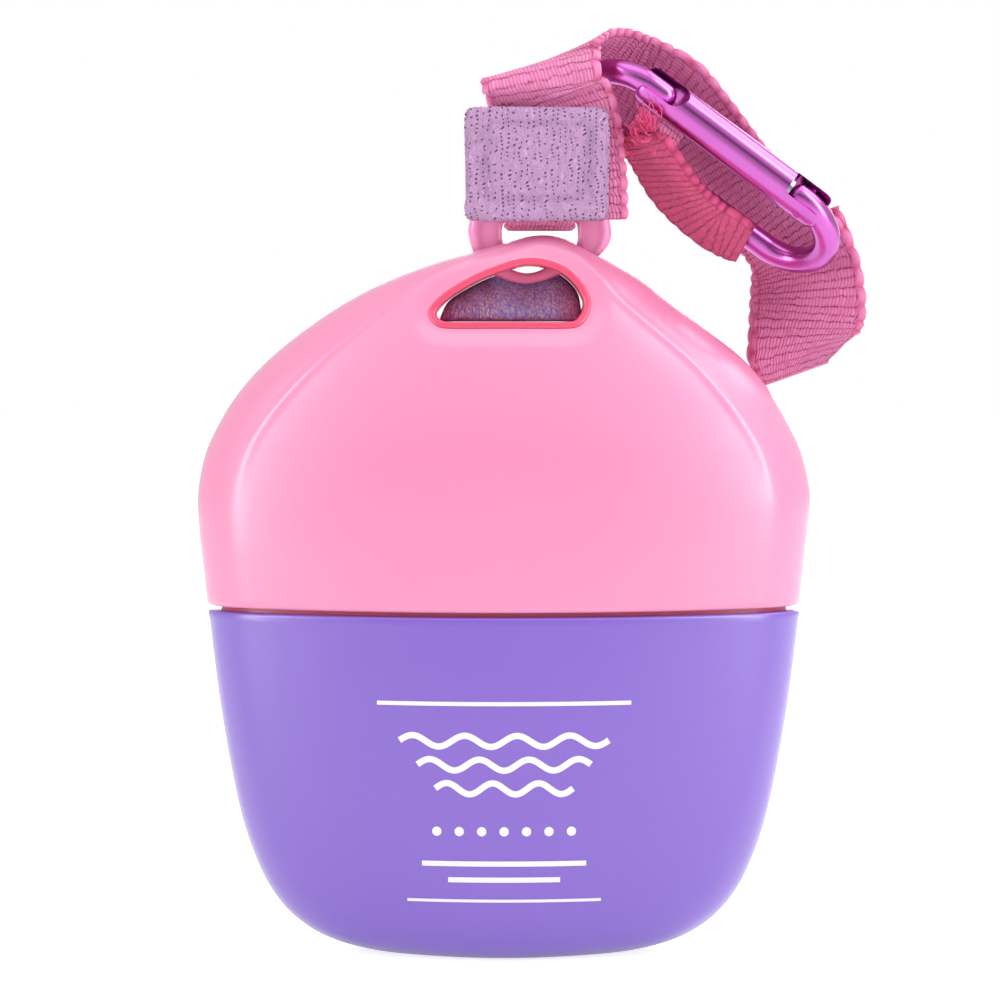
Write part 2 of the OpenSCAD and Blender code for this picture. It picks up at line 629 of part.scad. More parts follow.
module gate_spring() {
    from = nose_slot + well_end + wire_d/2 + touch;
    to = plunger_face - plunger_l - wire_d/2 - touch;
    coil_r = gate_bore/2 - wire_d/2 - 0.2;
    echo(str("Least gap between the spring's turns, mm: ", (to - from)/spring_turns - wire_d));
    steps = spring_turns*8;
    rings = [for (k = [0:steps]) let (a = 360*spring_turns*k/steps)
        [for (j = [0:5]) let (b = 360*j/6)
            [from + (to - from)*k/steps + wire_d/2*sin(b), (coil_r + wire_d/2*cos(b))*cos(a),
                (coil_r + wire_d/2*cos(b))*sin(a)]]];
    color("silver") in_carabiner() skin(rings);
}

bottle_body();
shoulder_collar();
dispensing_plug();
cap_shell();
inner_cap();
seal_ring();
window_liner();
window_pad();
hang_ring();
ring_webbing();
pile_tab();
strap_webbing();
keeper_webbing();
sewn_tack();
carabiner_frame();
gate_sleeve();
gate_rivet();
latch_pin();
gate_plunger();
gate_spring();
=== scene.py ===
# Pocket lotion bottle with a pull-off cap, a hang ring, a wrist strap and a carabiner
import bmesh
import bpy
import math
import numpy as np
from functools import partial
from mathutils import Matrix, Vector


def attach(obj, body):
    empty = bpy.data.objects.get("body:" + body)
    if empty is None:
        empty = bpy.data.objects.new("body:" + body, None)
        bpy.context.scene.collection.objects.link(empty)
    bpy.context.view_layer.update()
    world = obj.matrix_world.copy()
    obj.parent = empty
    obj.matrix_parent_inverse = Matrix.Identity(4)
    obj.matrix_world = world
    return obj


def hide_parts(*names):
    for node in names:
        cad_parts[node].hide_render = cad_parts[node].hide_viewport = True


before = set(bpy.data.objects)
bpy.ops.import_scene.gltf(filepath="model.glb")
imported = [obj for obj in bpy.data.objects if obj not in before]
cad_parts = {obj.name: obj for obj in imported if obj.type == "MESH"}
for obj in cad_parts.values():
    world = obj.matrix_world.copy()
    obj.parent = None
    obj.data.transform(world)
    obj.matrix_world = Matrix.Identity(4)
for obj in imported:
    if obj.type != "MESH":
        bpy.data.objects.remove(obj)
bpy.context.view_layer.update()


# Studio. The bottle stands on a pale floor in a white room, between two tall softboxes, with two over it, one
# behind it and a dark card behind the camera for the metal to mirror. The camera is half a metre in front.
eye_distance, eye_height, eye_aside, aim_height = 0.5, 0.086, -0.00055, 0.062
sensor_mm, lens_mm = 36, 131.2
camera = bpy.data.cameras.new("front_camera")
camera.sensor_width, camera.lens = sensor_mm, lens_mm
eye = bpy.data.objects.new("front_camera", camera)
eye.location = (eye_aside, -eye_distance, eye_height)
eye.rotation_euler = (math.pi/2 - math.atan2(eye_height - aim_height, eye_distance), 0, 0)
bpy.context.collection.objects.link(eye)
bpy.context.scene.camera = eye
bpy.context.scene.view_settings.view_transform = "Standard"


def softbox(name, place, aim, width, height, power):
    """Rectangular lamp at a place, turned so that its face looks at a point of the object."""
    lamp = bpy.data.lights.new(name, "AREA")
    lamp.shape, lamp.size, lamp.size_y, lamp.energy = "RECTANGLE", width, height, power
    stand = bpy.data.objects.new(name, lamp)
    toward = Vector(aim) - Vector(place)
    stand.location = place
    stand.rotation_euler = toward.to_track_quat("-Z", "Y").to_euler()
    bpy.context.collection.objects.link(stand)


for name, place, aim, width, height, power in (
        ("left_softbox", (-0.55, -0.30, 0.24), (0, 0, 0.06), 0.2, 0.7, 2.7),
        ("right_softbox", (0.52, -0.30, 0.34), (0, 0, 0.06), 0.2, 0.7, 2.8),
        ("top_softbox", (0.0, -0.15, 0.75), (0, 0, 0.05), 0.6, 0.5, 1.1),
        ("flank_softbox", (0.5, 0.12, 0.65), (0, 0, 0.08), 0.4, 0.4, 1.6),
        ("back_softbox", (0.1, 0.8, 0.3), (0, 0, 0.06), 0.6, 0.5, 2.2)):
    softbox(name, place, aim, width, height, power)


def wire(tree, node, values):
    """Gives a node's inputs, by name or number, their values: a socket is linked, and anything else is set."""
    for label, value in values.items():
        if isinstance(value, bpy.types.NodeSocket):
            tree.links.new(value, node.inputs[label])
        else:
            node.inputs[label].default_value = value
    return node


def math_node(tree, operation, *values):
    """Output of a math node of an operation, with each value a number or a socket."""
    node = tree.nodes.new("ShaderNodeMath")
    node.operation = operation
    return wire(tree, node, dict(enumerate(values))).outputs[0]


def ranged(tree, value, low, high, start=0.0, end=1.0):
    """Output that runs from low to high while a value runs from start to end, held at both ends."""
    node = tree.nodes.new("ShaderNodeMapRange")
    wire(tree, node, {"Value": value, "From Min": start, "From Max": end, "To Min": low, "To Max": high})
    return node.outputs["Result"]


room_light, mirrored_share = 0.36, 0.55


def camera_sees(tree):
    """Mask: 1 for what the camera shows, the mirrored share in gloss, and 0 for light on the object."""
    path = tree.nodes.new("ShaderNodeLightPath").outputs
    return math_node(tree, "MULTIPLY_ADD", path["Is Glossy Ray"], mirrored_share, path["Is Camera Ray"])


world = bpy.data.worlds.new("white_room")
bpy.context.scene.world = world
world.use_nodes = True
room = world.node_tree
wire(room, room.nodes["Background"], {
    "Color": (1, 1, 1, 1), "Strength": ranged(room, camera_sees(room), room_light, 1.0)})


def material(name):
    """Empty material with a Principled BSDF: the material, its tree and the shader."""
    made = bpy.data.materials.new(name)
    made.use_nodes = True
    return made, made.node_tree, made.node_tree.nodes["Principled BSDF"]


def plain_sheet(name, corners, paint_name, colour):
    """Four-cornered sheet of the studio in one colour: the object, its paint's tree and the shader."""
    mesh = bpy.data.meshes.new(name)
    mesh.from_pydata(corners, [], [(0, 1, 2, 3)])
    sheet = bpy.data.objects.new(name, mesh)
    bpy.context.collection.objects.link(sheet)
    paint, tree, shader = material(paint_name)
    shader.inputs["Base Color"].default_value = colour
    mesh.materials.append(paint)
    return sheet, tree, shader


floor_half, floor_glow = 3.0, 0.78
floor, floor_tree, floor_shader = plain_sheet(
    "floor", [(x*floor_half, y*floor_half, 0) for x, y in ((-1, -1), (1, -1), (1, 1), (-1, 1))],
    "floor_paint", (0.84, 0.84, 0.845, 1))
wire(floor_tree, floor_shader, {
    "Roughness": 0.6, "Specular IOR Level": 0.1, "Emission Color": (1, 1, 1, 1),
    "Emission Strength": math_node(floor_tree, "MULTIPLY", camera_sees(floor_tree), floor_glow)})

card_corners = [(-0.5, -0.75, 0.25), (0.5, -0.75, 0.25), (0.5, -0.85, 0.5), (-0.5, -0.85, 0.5)]
card = plain_sheet("dark_card", card_corners, "card_paint", (0.03, 0.01, 0.05, 1))[0]


# Body. One blow-moulded shell of violet polyethylene, 84 mm wide and 34 mm deep, with a flat base and a neck
# for the plug. Its face is gently crowned and meets the rounded sides at a soft ridge.
MM = 0.001
bottle_w, bottle_d, body_h, body_wall = 84, 34, 47.1, 1.4
half_w, half_d = bottle_w/2, bottle_d/2
neck_r, neck_h, neck_wall = 11, 11.2, 1.7
neck_top, bore_r = body_h + neck_h, neck_r - neck_wall
body_shares = [
    [0, 0.36, 0.47, 0.80], [0.012, 0.47, 0.60, 0.80], [0.04, 0.58, 0.71, 0.80], [0.085, 0.668, 0.79, 0.81],
    [0.15, 0.741, 0.85, 0.82], [0.25, 0.805, 0.90, 0.83], [0.42, 0.868, 0.945, 0.84],
    [0.70, 0.926, 0.985, 0.86], [1, 0.968, 1, 0.87]]


def cubic(a, b, c, d, t):
    """Point at a share t of the way from b to c, on the smooth cubic that four neighbours give."""
    return 0.5*(2*b + (c - a)*t + (2*a - 5*b + 4*c - d)*t**2 + (3*b - a - 3*c + d)*t**3)


def curve(table, parts):
    """Smooth curve through the rows of a table: each span is the cubic that its four nearest rows give."""
    rows = np.asarray(table, float)
    rows = np.vstack([rows[:1], rows, rows[-1:]])
    u = np.linspace(0, len(table) - 1, (len(table) - 1)*parts + 1)
    i = np.minimum(u.astype(int), len(table) - 2)
    return cubic(rows[i], rows[i + 1], rows[i + 2], rows[i + 3], (u - i)[:, None])


body_rows = np.insert(curve(body_shares, 7)*[body_h, half_w, half_d, 1], 1, 0, axis=1)
ridge_soft, crease_w = 0.06, 0.8


def depth_share(s, ridge, soft):
    """Half depth at a share s of the half width: the lower of a crown and an ellipse, blended at the ridge."""
    s = np.abs(s)
    face = 1 - (1 - np.sqrt(1 - ridge**2))*(s/ridge)**2
    side = np.sqrt(np.maximum(1 - s**2, 0))
    k = soft*s**2 + 1e-6
    return np.minimum(face, side) - np.maximum(k - np.abs(face - side), 0)**2/(4*k)


def xyz(x, y, z):
    """Points from their x, y and z, each a list of numbers or one number for all."""
    return np.stack(np.broadcast_arrays(x, y, z), -1)


def angles(count):
    """Angles in equal steps of a full turn."""
    return np.arange(count)*2*np.pi/count


around = 320
turn = angles(around)


def level(height, middle, half_width, half_depth, ridge, inset=0.0, soft=ridge_soft, crease=0.0):
    """One level of the bottle: its outline's points, drawn in by a wall, with a fine crease at the ridge."""
    s = np.cos(turn)
    rise = crease*np.exp(-((np.abs(s) - ridge)*half_width/crease_w)**2)
    y = np.where(np.sin(turn) < 0, -1, 1)*((half_depth - inset)*depth_share(s, ridge, soft) + rise)
    return xyz(middle + (half_width - inset)*s, y, height)


def circle(height, radius):
    """One level of a round part."""
    return xyz(radius*np.cos(turn), radius*np.sin(turn), height)


def grid_faces(rows, columns, wrap_rows=False):
    """Quads of a grid whose columns close on themselves, and whose rows do so where asked."""
    i, j = np.meshgrid(np.arange(rows if wrap_rows else rows - 1), np.arange(columns), indexing="ij")
    k, m = (i + 1) % rows, (j + 1) % columns
    return np.stack([i*columns + j, i*columns + m, k*columns + m, k*columns + j], -1).reshape(-1, 4).tolist()


def closed_skin(rings):
    """Skin over a stack of rings, closed at both ends by a fan to the end ring's middle: points and faces."""
    rings = np.asarray(rings, float)
    rows, columns = rings.shape[:2]
    points = np.vstack([rings.reshape(-1, 3), rings[0].mean(0), rings[-1].mean(0)])
    j = np.arange(columns)
    first = np.column_stack([(j + 1) % columns, j, np.full(columns, rows*columns)])
    top = (rows - 1)*columns
    last = np.column_stack([top + j, top + (j + 1) % columns, np.full(columns, rows*columns + 1)])
    return points, grid_faces(rows, columns) + first.tolist() + last.tolist()


def make_piece(name, points, faces, sharp=40, uv=None):
    """Mesh object from points in millimetres, smooth but for the edges over the given angle."""
    mesh = bpy.data.meshes.new(name)
    mesh.from_pydata((np.asarray(points)*MM).tolist(), [], faces)
    if uv is not None:
        corner = np.empty(len(mesh.loops), np.int32)
        mesh.loops.foreach_get("vertex_index", corner)
        mesh.uv_layers.new(name="cloth").data.foreach_set("uv", np.asarray(uv, np.float32)[corner].ravel())
    made = bmesh.new()
    made.from_mesh(mesh)
    bmesh.ops.recalc_face_normals(made, faces=made.faces)
    made.to_mesh(mesh)
    made.free()
    mesh.shade_smooth()
    mesh.set_sharp_from_angle(angle=math.radians(sharp))
    piece = bpy.data.objects.new(name, mesh)
    bpy.context.collection.objects.link(piece)
    return piece


def ring_piece(name, rings, sharp=40):
    """Mesh object of a skin over a stack of rings whose last one joins the first."""
    rings = np.asarray(rings)
    return make_piece(name, rings.reshape(-1, 3), grid_faces(*rings.shape[:2], wrap_rows=True), sharp)


def new_group(name, inputs, *outputs):
    """Shader node group with number inputs and outputs: the group, its inputs' sockets and its end node."""
    group = bpy.data.node_groups.new(name, "ShaderNodeTree")
    for label, value in inputs.items():
        group.interface.new_socket(label, in_out="INPUT", socket_type="NodeSocketFloat").default_value = value
    for label in outputs:
        group.interface.new_socket(label, in_out="OUTPUT", socket_type="NodeSocketFloat")
    return group, group.nodes.new("NodeGroupInput").outputs, group.nodes.new("NodeGroupOutput")


def noise(tree, vector, scale, detail=2.0, rough=0.5, twist=0.0):
    """Noise texture of a scale on a vector, and its value."""
    node = tree.nodes.new("ShaderNodeTexNoise")
    wire(tree, node, {
        "Vector": vector, "Scale": scale, "Detail": detail, "Roughness": rough, "Distortion": twist})
    return node.outputs["Fac"]


def grained_skin(name, grain, clouds):
    """Smooth skin's node group: a fine grain for the height, and slow clouds for the colour and the gloss."""
    group, given, out = new_group(name, {"Grain": grain, "Clouds": clouds}, "Height", "Cloud")
    place = group.nodes.new("ShaderNodeTexCoord").outputs["Object"]
    wire(group, out, {
        "Height": noise(group, place, given["Grain"]), "Cloud": noise(group, place, given["Clouds"])})
    return group


moulded_skin = grained_skin("moulded_skin", 5000.0, 45.0)


def linear(colour):
    """Screen colour, 0 to 255, as the linear colour that a shader takes."""
    share = np.asarray(colour, float)/255
    return tuple(np.where(share <= 0.04045, share/12.92, ((share + 0.055)/1.055)**2.4)) + (1.0,)


def textured(name, group, low, high, depth, values):
    """Material whose colour runs between two screen colours by a group's second output, with the first one as
    bump of a depth in metres: the material, its tree, the shader and the second output."""
    made, tree, shader = material(name)
    texture = tree.nodes.new("ShaderNodeGroup")
    texture.node_tree = group
    height, tone_and_painted_light = texture.outputs
    colour = tree.nodes.new("ShaderNodeMix")
    colour.data_type = "RGBA"
    wire(tree, colour, {0: tone_and_painted_light, 6: linear(low), 7: linear(high)})
    bump = tree.nodes.new("ShaderNodeBump")
    wire(tree, bump, {"Distance": depth, "Strength": 1.0, "Height": height})
    wire(tree, shader, {"Base Color": colour.outputs[2], "Normal": bump.outputs["Normal"], **values})
    return made, tree, shader, tone_and_painted_light


grain_depth, gloss_drift = 0.00001, 0.05


def moulded(name, colour, shade, rough, coat, glow_through=0.06):
    """Satin moulded plastic: two close tones in slow clouds, a fine grain and a thin gloss over it."""
    made, tree, shader, cloud = textured(name, moulded_skin, colour, shade, grain_depth, {
        "Coat Weight": coat, "Coat Roughness": 0.24, "Subsurface Weight": glow_through,
        "Subsurface Radius": (1.0, 0.5, 0.6), "Subsurface Scale": 0.0012})
    wire(tree, shader, {"Roughness": ranged(tree, cloud, rough - gloss_drift, rough + gloss_drift)})
    return made


def finish_piece(piece, paint, body, slot, *nodes):
    """Gives a piece its material and its body, and hides the CAD nodes that it stands for. The slot is not used.
    """
    piece.data.materials.clear()
    piece.data.materials.append(paint)
    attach(piece, body)
    if nodes:
        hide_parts(*nodes)


def body_rings():
    """Levels of the body from its base's middle up its outside, over shoulder and neck, and down inside."""
    edge, ceiling, last = 0.55, body_h - body_wall, body_rows[-1]
    rings = [level(0, 0, last[2]*share*0.37, last[3]*share*0.47, 0.8) for share in (0.3, 0.7, 0.95)]
    rings += [level(*row) for row in body_rows if row[0] <= body_h - edge]
    for bend in np.radians([0, 25, 50, 75, 90]):
        rings.append(level(body_h - edge*(1 - math.sin(bend)), *last[1:], inset=edge*(1 - math.cos(bend))))
    shoulder = rings[-1]
    rings += [shoulder*(1 - share) + circle(body_h, neck_r)*share for share in (0.04, 0.3, 0.6, 0.9, 0.97, 1)]
    rings += [circle(body_h + z, neck_r + r) for z, r in (
        (0.05, 0), (0.95, 0.5), (1, 0.5), (1.03, 0.02), (1.1, 0), (neck_h - 0.3, 0),
        (neck_h - 0.08, -0.08), (neck_h, -0.3), (neck_h, 0.3 - neck_wall), (neck_h - 0.1, 0.05 - neck_wall),
        (neck_h - 0.3, -neck_wall))]
    rings += [circle(ceiling + 0.1, bore_r), circle(ceiling, bore_r)]
    inner = level(ceiling, *last[1:], inset=body_wall)
    rings += [circle(ceiling, bore_r)*(1 - share) + inner*share for share in (0.05, 0.5, 0.97, 1)]
    rings += [level(*row, inset=body_wall) for row in body_rows[::-1] if body_wall < row[0] < ceiling - 0.3]
    return rings + [rings[-1]*[0.5, 0.5, 1]]


violet = moulded("body_violet", (132, 94, 203), (127, 90, 198), 0.36, 1.0)
body = make_piece("bottle_body_shell", *closed_skin(body_rings()), sharp=50)
finish_piece(body, violet, "bottle", "body_violet", "bottle_body")


# Collar. A moulded wall on the shoulder, which guides the cap's rim and shows in the gap at both ends. Its deep
# pink-red is painted shade: pink plastic as it looks in the gap's shade. Its top edges are eased.
seam_gap, cap_wall, slide_gap, collar_h, collar_wall, collar_ease = 0.6, 1.5, 0.3, 4.2, 1.2, 0.25
rim_w_share, rim_ridge = 0.967, 0.87
# Deep pink-red for the collar, the liner and the inner cap: the shade of pink plastic, painted into the colour.
coral = moulded("painted_shade_coral_plastic", (236, 84, 122), (232, 78, 116), 0.3, 0.2)
collar_out, collar_top = cap_wall + slide_gap, body_h + collar_h
collar_in = collar_out + collar_wall
collar_rings = [level(height, 0, rim_w_share*half_w, half_d, rim_ridge, inset) for height, inset in (
    (body_h, collar_in), (collar_top - collar_ease, collar_in), (collar_top, collar_in - collar_ease),
    (collar_top, collar_out + collar_ease), (collar_top - collar_ease, collar_out), (body_h, collar_out))]
collar = ring_piece("shoulder_collar_wall", collar_rings, 35)
finish_piece(collar, coral, "bottle", "coral", "shoulder_collar")


# Plug. A white turned plug, pressed into the neck, closes it. It has a flange on the neck's top, a spout and a
# 3 mm hole.
flange_t, spout_h, spout_r, plug_depth, plug_wall, hole_r, plug_fit = 1.2, 3.4, 4.0, 7.0, 1.2, 1.5, 0.03
white = moulded("plug_white", (236, 234, 232), (230, 228, 227), 0.45, 0.0)
deep, top, tip = neck_top - plug_depth, neck_top + flange_t, neck_top + flange_t + spout_h
outer_r = bore_r - plug_fit
plug = ring_piece("dispensing_plug_turned", [circle(z, r) for r, z in (
    (outer_r - plug_wall, deep + 0.2), (outer_r - plug_wall, neck_top), (hole_r, neck_top),
    (hole_r, tip - 0.25), (hole_r + 0.25, tip), (spout_r - 0.4, tip), (spout_r - 0.1, tip - 0.15),
    (spout_r, tip - 0.45), (spout_r, top + 0.2), (spout_r + 0.2, top), (neck_r - 0.3, top),
    (neck_r, top - 0.3), (neck_r, neck_top), (outer_r, neck_top), (outer_r, deep + 0.3),
    (outer_r - 0.3, deep), (outer_r - plug_wall + 0.2, deep))], 35)
finish_piece(plug, white, "bottle", "plug_white", "dispensing_plug")


# Printed marks. Plain white screen print on the body's face: rules, waves and dots that say nothing. Each
# stroke is a thin strip that follows the face.
ink_t, ink_sunk = 0.03, 0.01


def face_depth(rows, x, z):
    """Half depth of the bottle at points of its face, from the level's row at that height."""
    order = np.argsort(rows[:, 0])
    middle, half_width, half_depth, ridge = [np.interp(z, rows[order, 0], rows[order, i]) for i in range(1, 5)]
    return half_depth*depth_share(np.clip((x - middle)/half_width, -1, 1), ridge, ridge_soft)


def unit(vectors):
    """Vectors at length 1."""
    return vectors/np.linalg.norm(vectors, axis=-1, keepdims=True)


def left_of(along):
    """Unit vectors to the left of directions in a plane."""
    return unit(np.column_stack([-along[:, 1], along[:, 0]]))


def ribbon(line, width):
    """Printed strip of a width along points of x and z, from just under the face to the ink's depth over it."""
    side = left_of(np.gradient(line, axis=0))
    rows = []
    for way, proud in ((-1, 0), (-1, ink_t), (1, ink_t), (1, 0)):
        x, z = (line + side*width/2*way).T
        rows.append(xyz(x, ink_sunk - face_depth(body_rows, x, z) - proud, z))
    return closed_skin(np.swapaxes(rows, 0, 1))


def joined(shells):
    """Several shells' points and faces as one set."""
    faces, count = [], 0
    for points, shell_faces in shells:
        faces += [[i + count for i in face] for face in shell_faces]
        count += len(points)
    return np.vstack([points for points, _ in shells]), faces


def print_marks():
    """All the strips of the print, in mm: two rules, three waves, a row of dots and two bars."""
    wave_h, dot_r, dot_z = 0.75, 0.32, 18.4
    sweep = np.linspace(-1, 1, 60)
    bend = (sweep + 1)*np.pi
    strips = [(half*sweep, np.full(60, height), width) for height, half, width in (
        (35.6, 17.0, 0.55), (8.9, 13.0, 0.4), (14.0, 11.0, 0.7), (11.8, 7.5, 0.7))]
    strips += [(half*sweep, height + wave_h*np.sin(bend*waves), 0.85) for height, half, waves in (
        (30.6, 14.0, 4), (27.4, 11.6, 3.5), (24.2, 9.2, 3))]
    strips += [(x + dot_r*np.cos(bend), dot_z + dot_r*np.sin(bend), 0.62) for x in range(-9, 10, 3)]
    return joined([ribbon(np.column_stack([x, z]), width) for x, z, width in strips])


ink = moulded("white_ink", (250, 248, 252), (246, 244, 249), 0.5, 0.0, 0.0)
marks = make_piece("printed_marks", *print_marks(), sharp=60)
finish_piece(marks, ink, "bottle", "plug_white")


# Cap. A pink moulded shell that pulls off, whose rounded peak is off centre. Its face is crowned between two
# ridges that run up to the window, and a slot in its top holds the ring.
cap_h, apex_share, apex_shift = 50.7, 0.124, 5.2
cap_z = body_h + seam_gap
cap_top = cap_z + cap_h
cap_shares = [
    [0, -0.971, 0.967, 1, 0.87], [0.09, -0.982, 0.978, 1.008, 0.87], [0.19, -0.995, 0.991, 1.005, 0.865],
    [0.30, -1, 1, 0.985, 0.86], [0.41, -0.974, 0.974, 0.935, 0.85], [0.50, -0.923, 0.923, 0.875, 0.83],
    [0.58, -0.859, 0.865, 0.81, 0.80], [0.66, -0.771, 0.783, 0.735, 0.77], [0.742, -0.652, 0.667, 0.65, 0.73],
    [0.823, -0.507, 0.536, 0.565, 0.69], [0.88, -0.375, 0.45, 0.50, 0.67], [0.925, -0.24, 0.362, 0.435, 0.66],
    [0.957, -0.11, 0.293, 0.36, 0.66], [0.982, 0.007, 0.23, 0.27, 0.66], [0.995, 0.07, 0.178, 0.16, 0.66],
    [1, 0.115, 0.132, 0.03, 0.66]]
up_share, left, right, deep_share, cap_ridge = curve(cap_shares, 10).T
lean = (apex_shift - apex_share*half_w)*up_share**6
cap_rows = np.column_stack([
    cap_z + up_share*cap_h, (left + right)*half_w/2 + lean, (right - left)*half_w/2,
    deep_share*half_d, cap_ridge])

window_w, window_h, window_drop, window_aside, liner_wall = 20, 7.6, 11.95, 4.35, 1.0
window_x, sill_z = apex_shift - window_aside, cap_top - window_drop
window_shares = [
    [-0.5, 0.17], [-0.42, 0.40], [-0.27, 0.65], [-0.11, 0.84], [0.11, 1], [0.31, 0.91], [0.44, 0.64],
    [0.495, 0.32], [0.45, 0.05], [0.36, 0], [0.12, 0], [-0.13, 0], [-0.38, 0], [-0.47, 0.03]]


def loop_curve(table, parts):
    """The same smooth curve through a closed loop of points."""
    p = np.asarray(table, float)
    u = np.arange(len(p)*parts)/parts
    i = u.astype(int)
    return cubic(p[(i - 1) % len(p)], p[i % len(p)], p[(i + 1) % len(p)], p[(i + 2) % len(p)], (u % 1)[:, None])


def outward(loop):
    """Unit normals of a loop that runs clockwise, pointing out of it."""
    return left_of(np.roll(loop, -1, 0) - np.roll(loop, 1, 0))


window = loop_curve(window_shares, 8)*[window_w, window_h] + [window_x, sill_z]
window_out = outward(window)
dish_w, dish_depth, dish_under, face_least, skin_least = 2.7, 0.75, 8, 0.5, 0.3


def window_distance(x, z):
    """Distance of points of the face from the liner's outer edge, negative inside it."""
    rim = window + window_out*liner_wall
    gap = np.stack([x, z], -1)[..., None, :] - rim
    far = np.linalg.norm(gap, axis=-1)
    nearest = far.argmin(-1)
    side = np.take_along_axis((gap*window_out).sum(-1), nearest[..., None], -1)[..., 0]
    return np.where(side < 0, -1, 1)*far.min(-1)


def dish(x, z):
    """How far the skin is drawn in at points of the face: most at the window's rim, fading over the dish."""
    share = np.clip(1 - window_distance(x, z)/dish_w, 0, 1)
    return dish_depth*share**2*(3 - 2*share)


def dished(points):
    """The cap's skin drawn in round the window, on both faces, but never to the middle."""
    points = points.copy()
    x, y, z = points.T
    near = (np.abs(x - window_x) < window_w) & (z > sill_z - dish_under) & (np.abs(y) > face_least)
    points[near, 1] = np.sign(y[near])*np.maximum(np.abs(y[near]) - dish(x[near], z[near]), skin_least)
    return points


rim_edge, rim_step, ceiling_share, cap_soft = 0.45, 0.01, 0.65, 0.03
crease_h, crease_start_share, crease_run_share, crease_fade = 0.22, 0.25, 0.3, 8


def cap_rings():
    """Levels of the cap from the middle of its ceiling down inside and round its rim, and those up its outside.
    The crease at the ridges rises from a quarter of the height and fades under the peak."""
    cavity = [row for row in cap_rows if row[0] <= cap_z + ceiling_share*cap_h]
    ceiling, rim = level(*cavity[-1], inset=cap_wall), cap_rows[0]
    inner = [ceiling*[0.02, 0.02, 1], ceiling*[0.6, 0.6, 1]]
    inner += [level(*row, inset=cap_wall) for row in cavity[::-2]] + [level(*rim, inset=cap_wall - rim_step)]
    for bend in np.radians([0, 30, 60, 90]):
        rise, inset = rim_edge*(1 - math.cos(bend)), rim_edge*(1 - math.sin(bend))
        inner.append(level(rim[0] + rise, *rim[1:], inset=inset))
    outer = []
    for row in cap_rows[cap_rows[:, 0] > cap_z + rim_edge]:
        begun = min(1, max(0, (row[0] - cap_z)/cap_h - crease_start_share)/crease_run_share)
        outer.append(level(*row, soft=cap_soft, crease=crease_h*begun*min(1, (cap_top - row[0])/crease_fade)))
    return inner, outer


ring_w, ring_h, ring_t, bow_t, tilt_front, groove_gap = 19.5, 12.0, 3.2, 1.6, 10, 0.45
ring_aside, ring_sunk, liner_bite = 0.3, 0.8, 0.04
ring_x, ring_z = apex_shift - ring_aside, cap_top - ring_sunk
ring_out_shares = [
    [0, 0.5], [0.28, 0.487], [0.45, 0.38], [0.5, 0.14], [0.492, -0.02], [0.43, -0.155], [0.31, -0.285],
    [0.13, -0.40], [0.02, -0.467], [-0.097, -0.5], [-0.215, -0.467], [-0.32, -0.395], [-0.41, -0.27],
    [-0.465, -0.14], [-0.497, 0.02], [-0.5, 0.16], [-0.45, 0.38], [-0.28, 0.487]]
ring_in_shares = [
    [0, 0.225], [0.175, 0.223], [0.25, 0.20], [0.264, 0.12], [0.262, -0.02], [0.235, -0.11], [0.165, -0.20],
    [0.06, -0.29], [0, -0.345], [-0.085, -0.376], [-0.17, -0.35], [-0.225, -0.29], [-0.25, -0.20],
    [-0.257, -0.10], [-0.26, 0], [-0.263, 0.12], [-0.25, 0.20], [-0.175, 0.223]]
ring_out, ring_in = (loop_curve(shares, 8)*[ring_w, ring_h] + [ring_x, ring_z]
                     for shares in (ring_out_shares, ring_in_shares))


def window_cutter():
    """Prism through the cap that cuts the window, reaching a little into the liner's wall."""
    x, z = (window + window_out*(liner_wall - liner_bite)).T
    return make_piece("window_cutter", *closed_skin([xyz(x, y, z) for y in (bottle_d, -bottle_d)]))


def groove_cutter():
    """Cutter of the ring's slot: the ring's own outline grown by its clearance, as deep as its tilt needs."""
    half = ring_t/2 + groove_gap + ring_h/2*math.sin(math.radians(tilt_front))
    outer, inner = ring_out + outward(ring_out)*groove_gap, ring_in - outward(ring_in)*groove_gap
    return ring_piece("groove_cutter", [xyz(loop[:, 0], y, loop[:, 1]) for loop, y in (
        (outer, half), (outer, -half), (inner, -half), (inner, half))])


def cut(piece, cutters, sharp):
    """Takes the cutters out of a piece, keeps the result as its mesh and shades it again."""
    for cutter in cutters:
        taken = piece.modifiers.new("cut", "BOOLEAN")
        taken.operation, taken.solver, taken.object = "DIFFERENCE", "EXACT", cutter
    result = bpy.data.meshes.new_from_object(piece.evaluated_get(bpy.context.evaluated_depsgraph_get()))
    piece.modifiers.clear()
    piece.data = result
    result.shade_smooth()
    result.set_sharp_from_angle(angle=math.radians(sharp))


inside, outside = cap_rings()
cap_points, cap_faces = closed_skin(np.array(inside + [dished(ring) for ring in outside]))
cap = make_piece("cap_shell_skin", cap_points, cap_faces)
groove = groove_cutter()
opening = window_cutter()
cut(cap, (opening, groove), 38)
pink = moulded("cap_pink", (244, 148, 189), (243, 144, 186), 0.36, 1.0)
finish_piece(cap, pink, "cap", "cap_pink", "cap_shell")


# Window liner. A moulded band, pressed into the window, lines it from the front of the cap to its back. Its deep
# pink-red is the same painted shade of pink plastic. It stands a little proud of both faces, with rounded edges.
proud = 0.22
liner_bar = [(0.0, 0.30), (0.06, 0.12), (0.2, 0.0), (0.5, -0.04), (0.8, 0.0), (0.94, 0.12), (1.0, 0.30)]


def liner_rings():
    """Sections of the band along the window's outline, each a rounded bar from the front face to the back."""
    x, z = (window + window_out*liner_wall/2).T
    reach = face_depth(cap_rows, x, z) - dish(x, z) + proud
    rings = []
    for side, bar in ((-1, liner_bar), (1, liner_bar[::-1])):
        for across, back_by in bar:
            x, z = (window + window_out*liner_wall*across).T
            rings.append(xyz(x, side*(reach - back_by), z))
    return rings


liner = ring_piece("window_liner_band", liner_rings())
cut(liner, (groove,), 40)
finish_piece(liner, coral, "cap", "coral", "window_liner")
for cutter in (groove, opening):
    bpy.data.objects.remove(cutter)


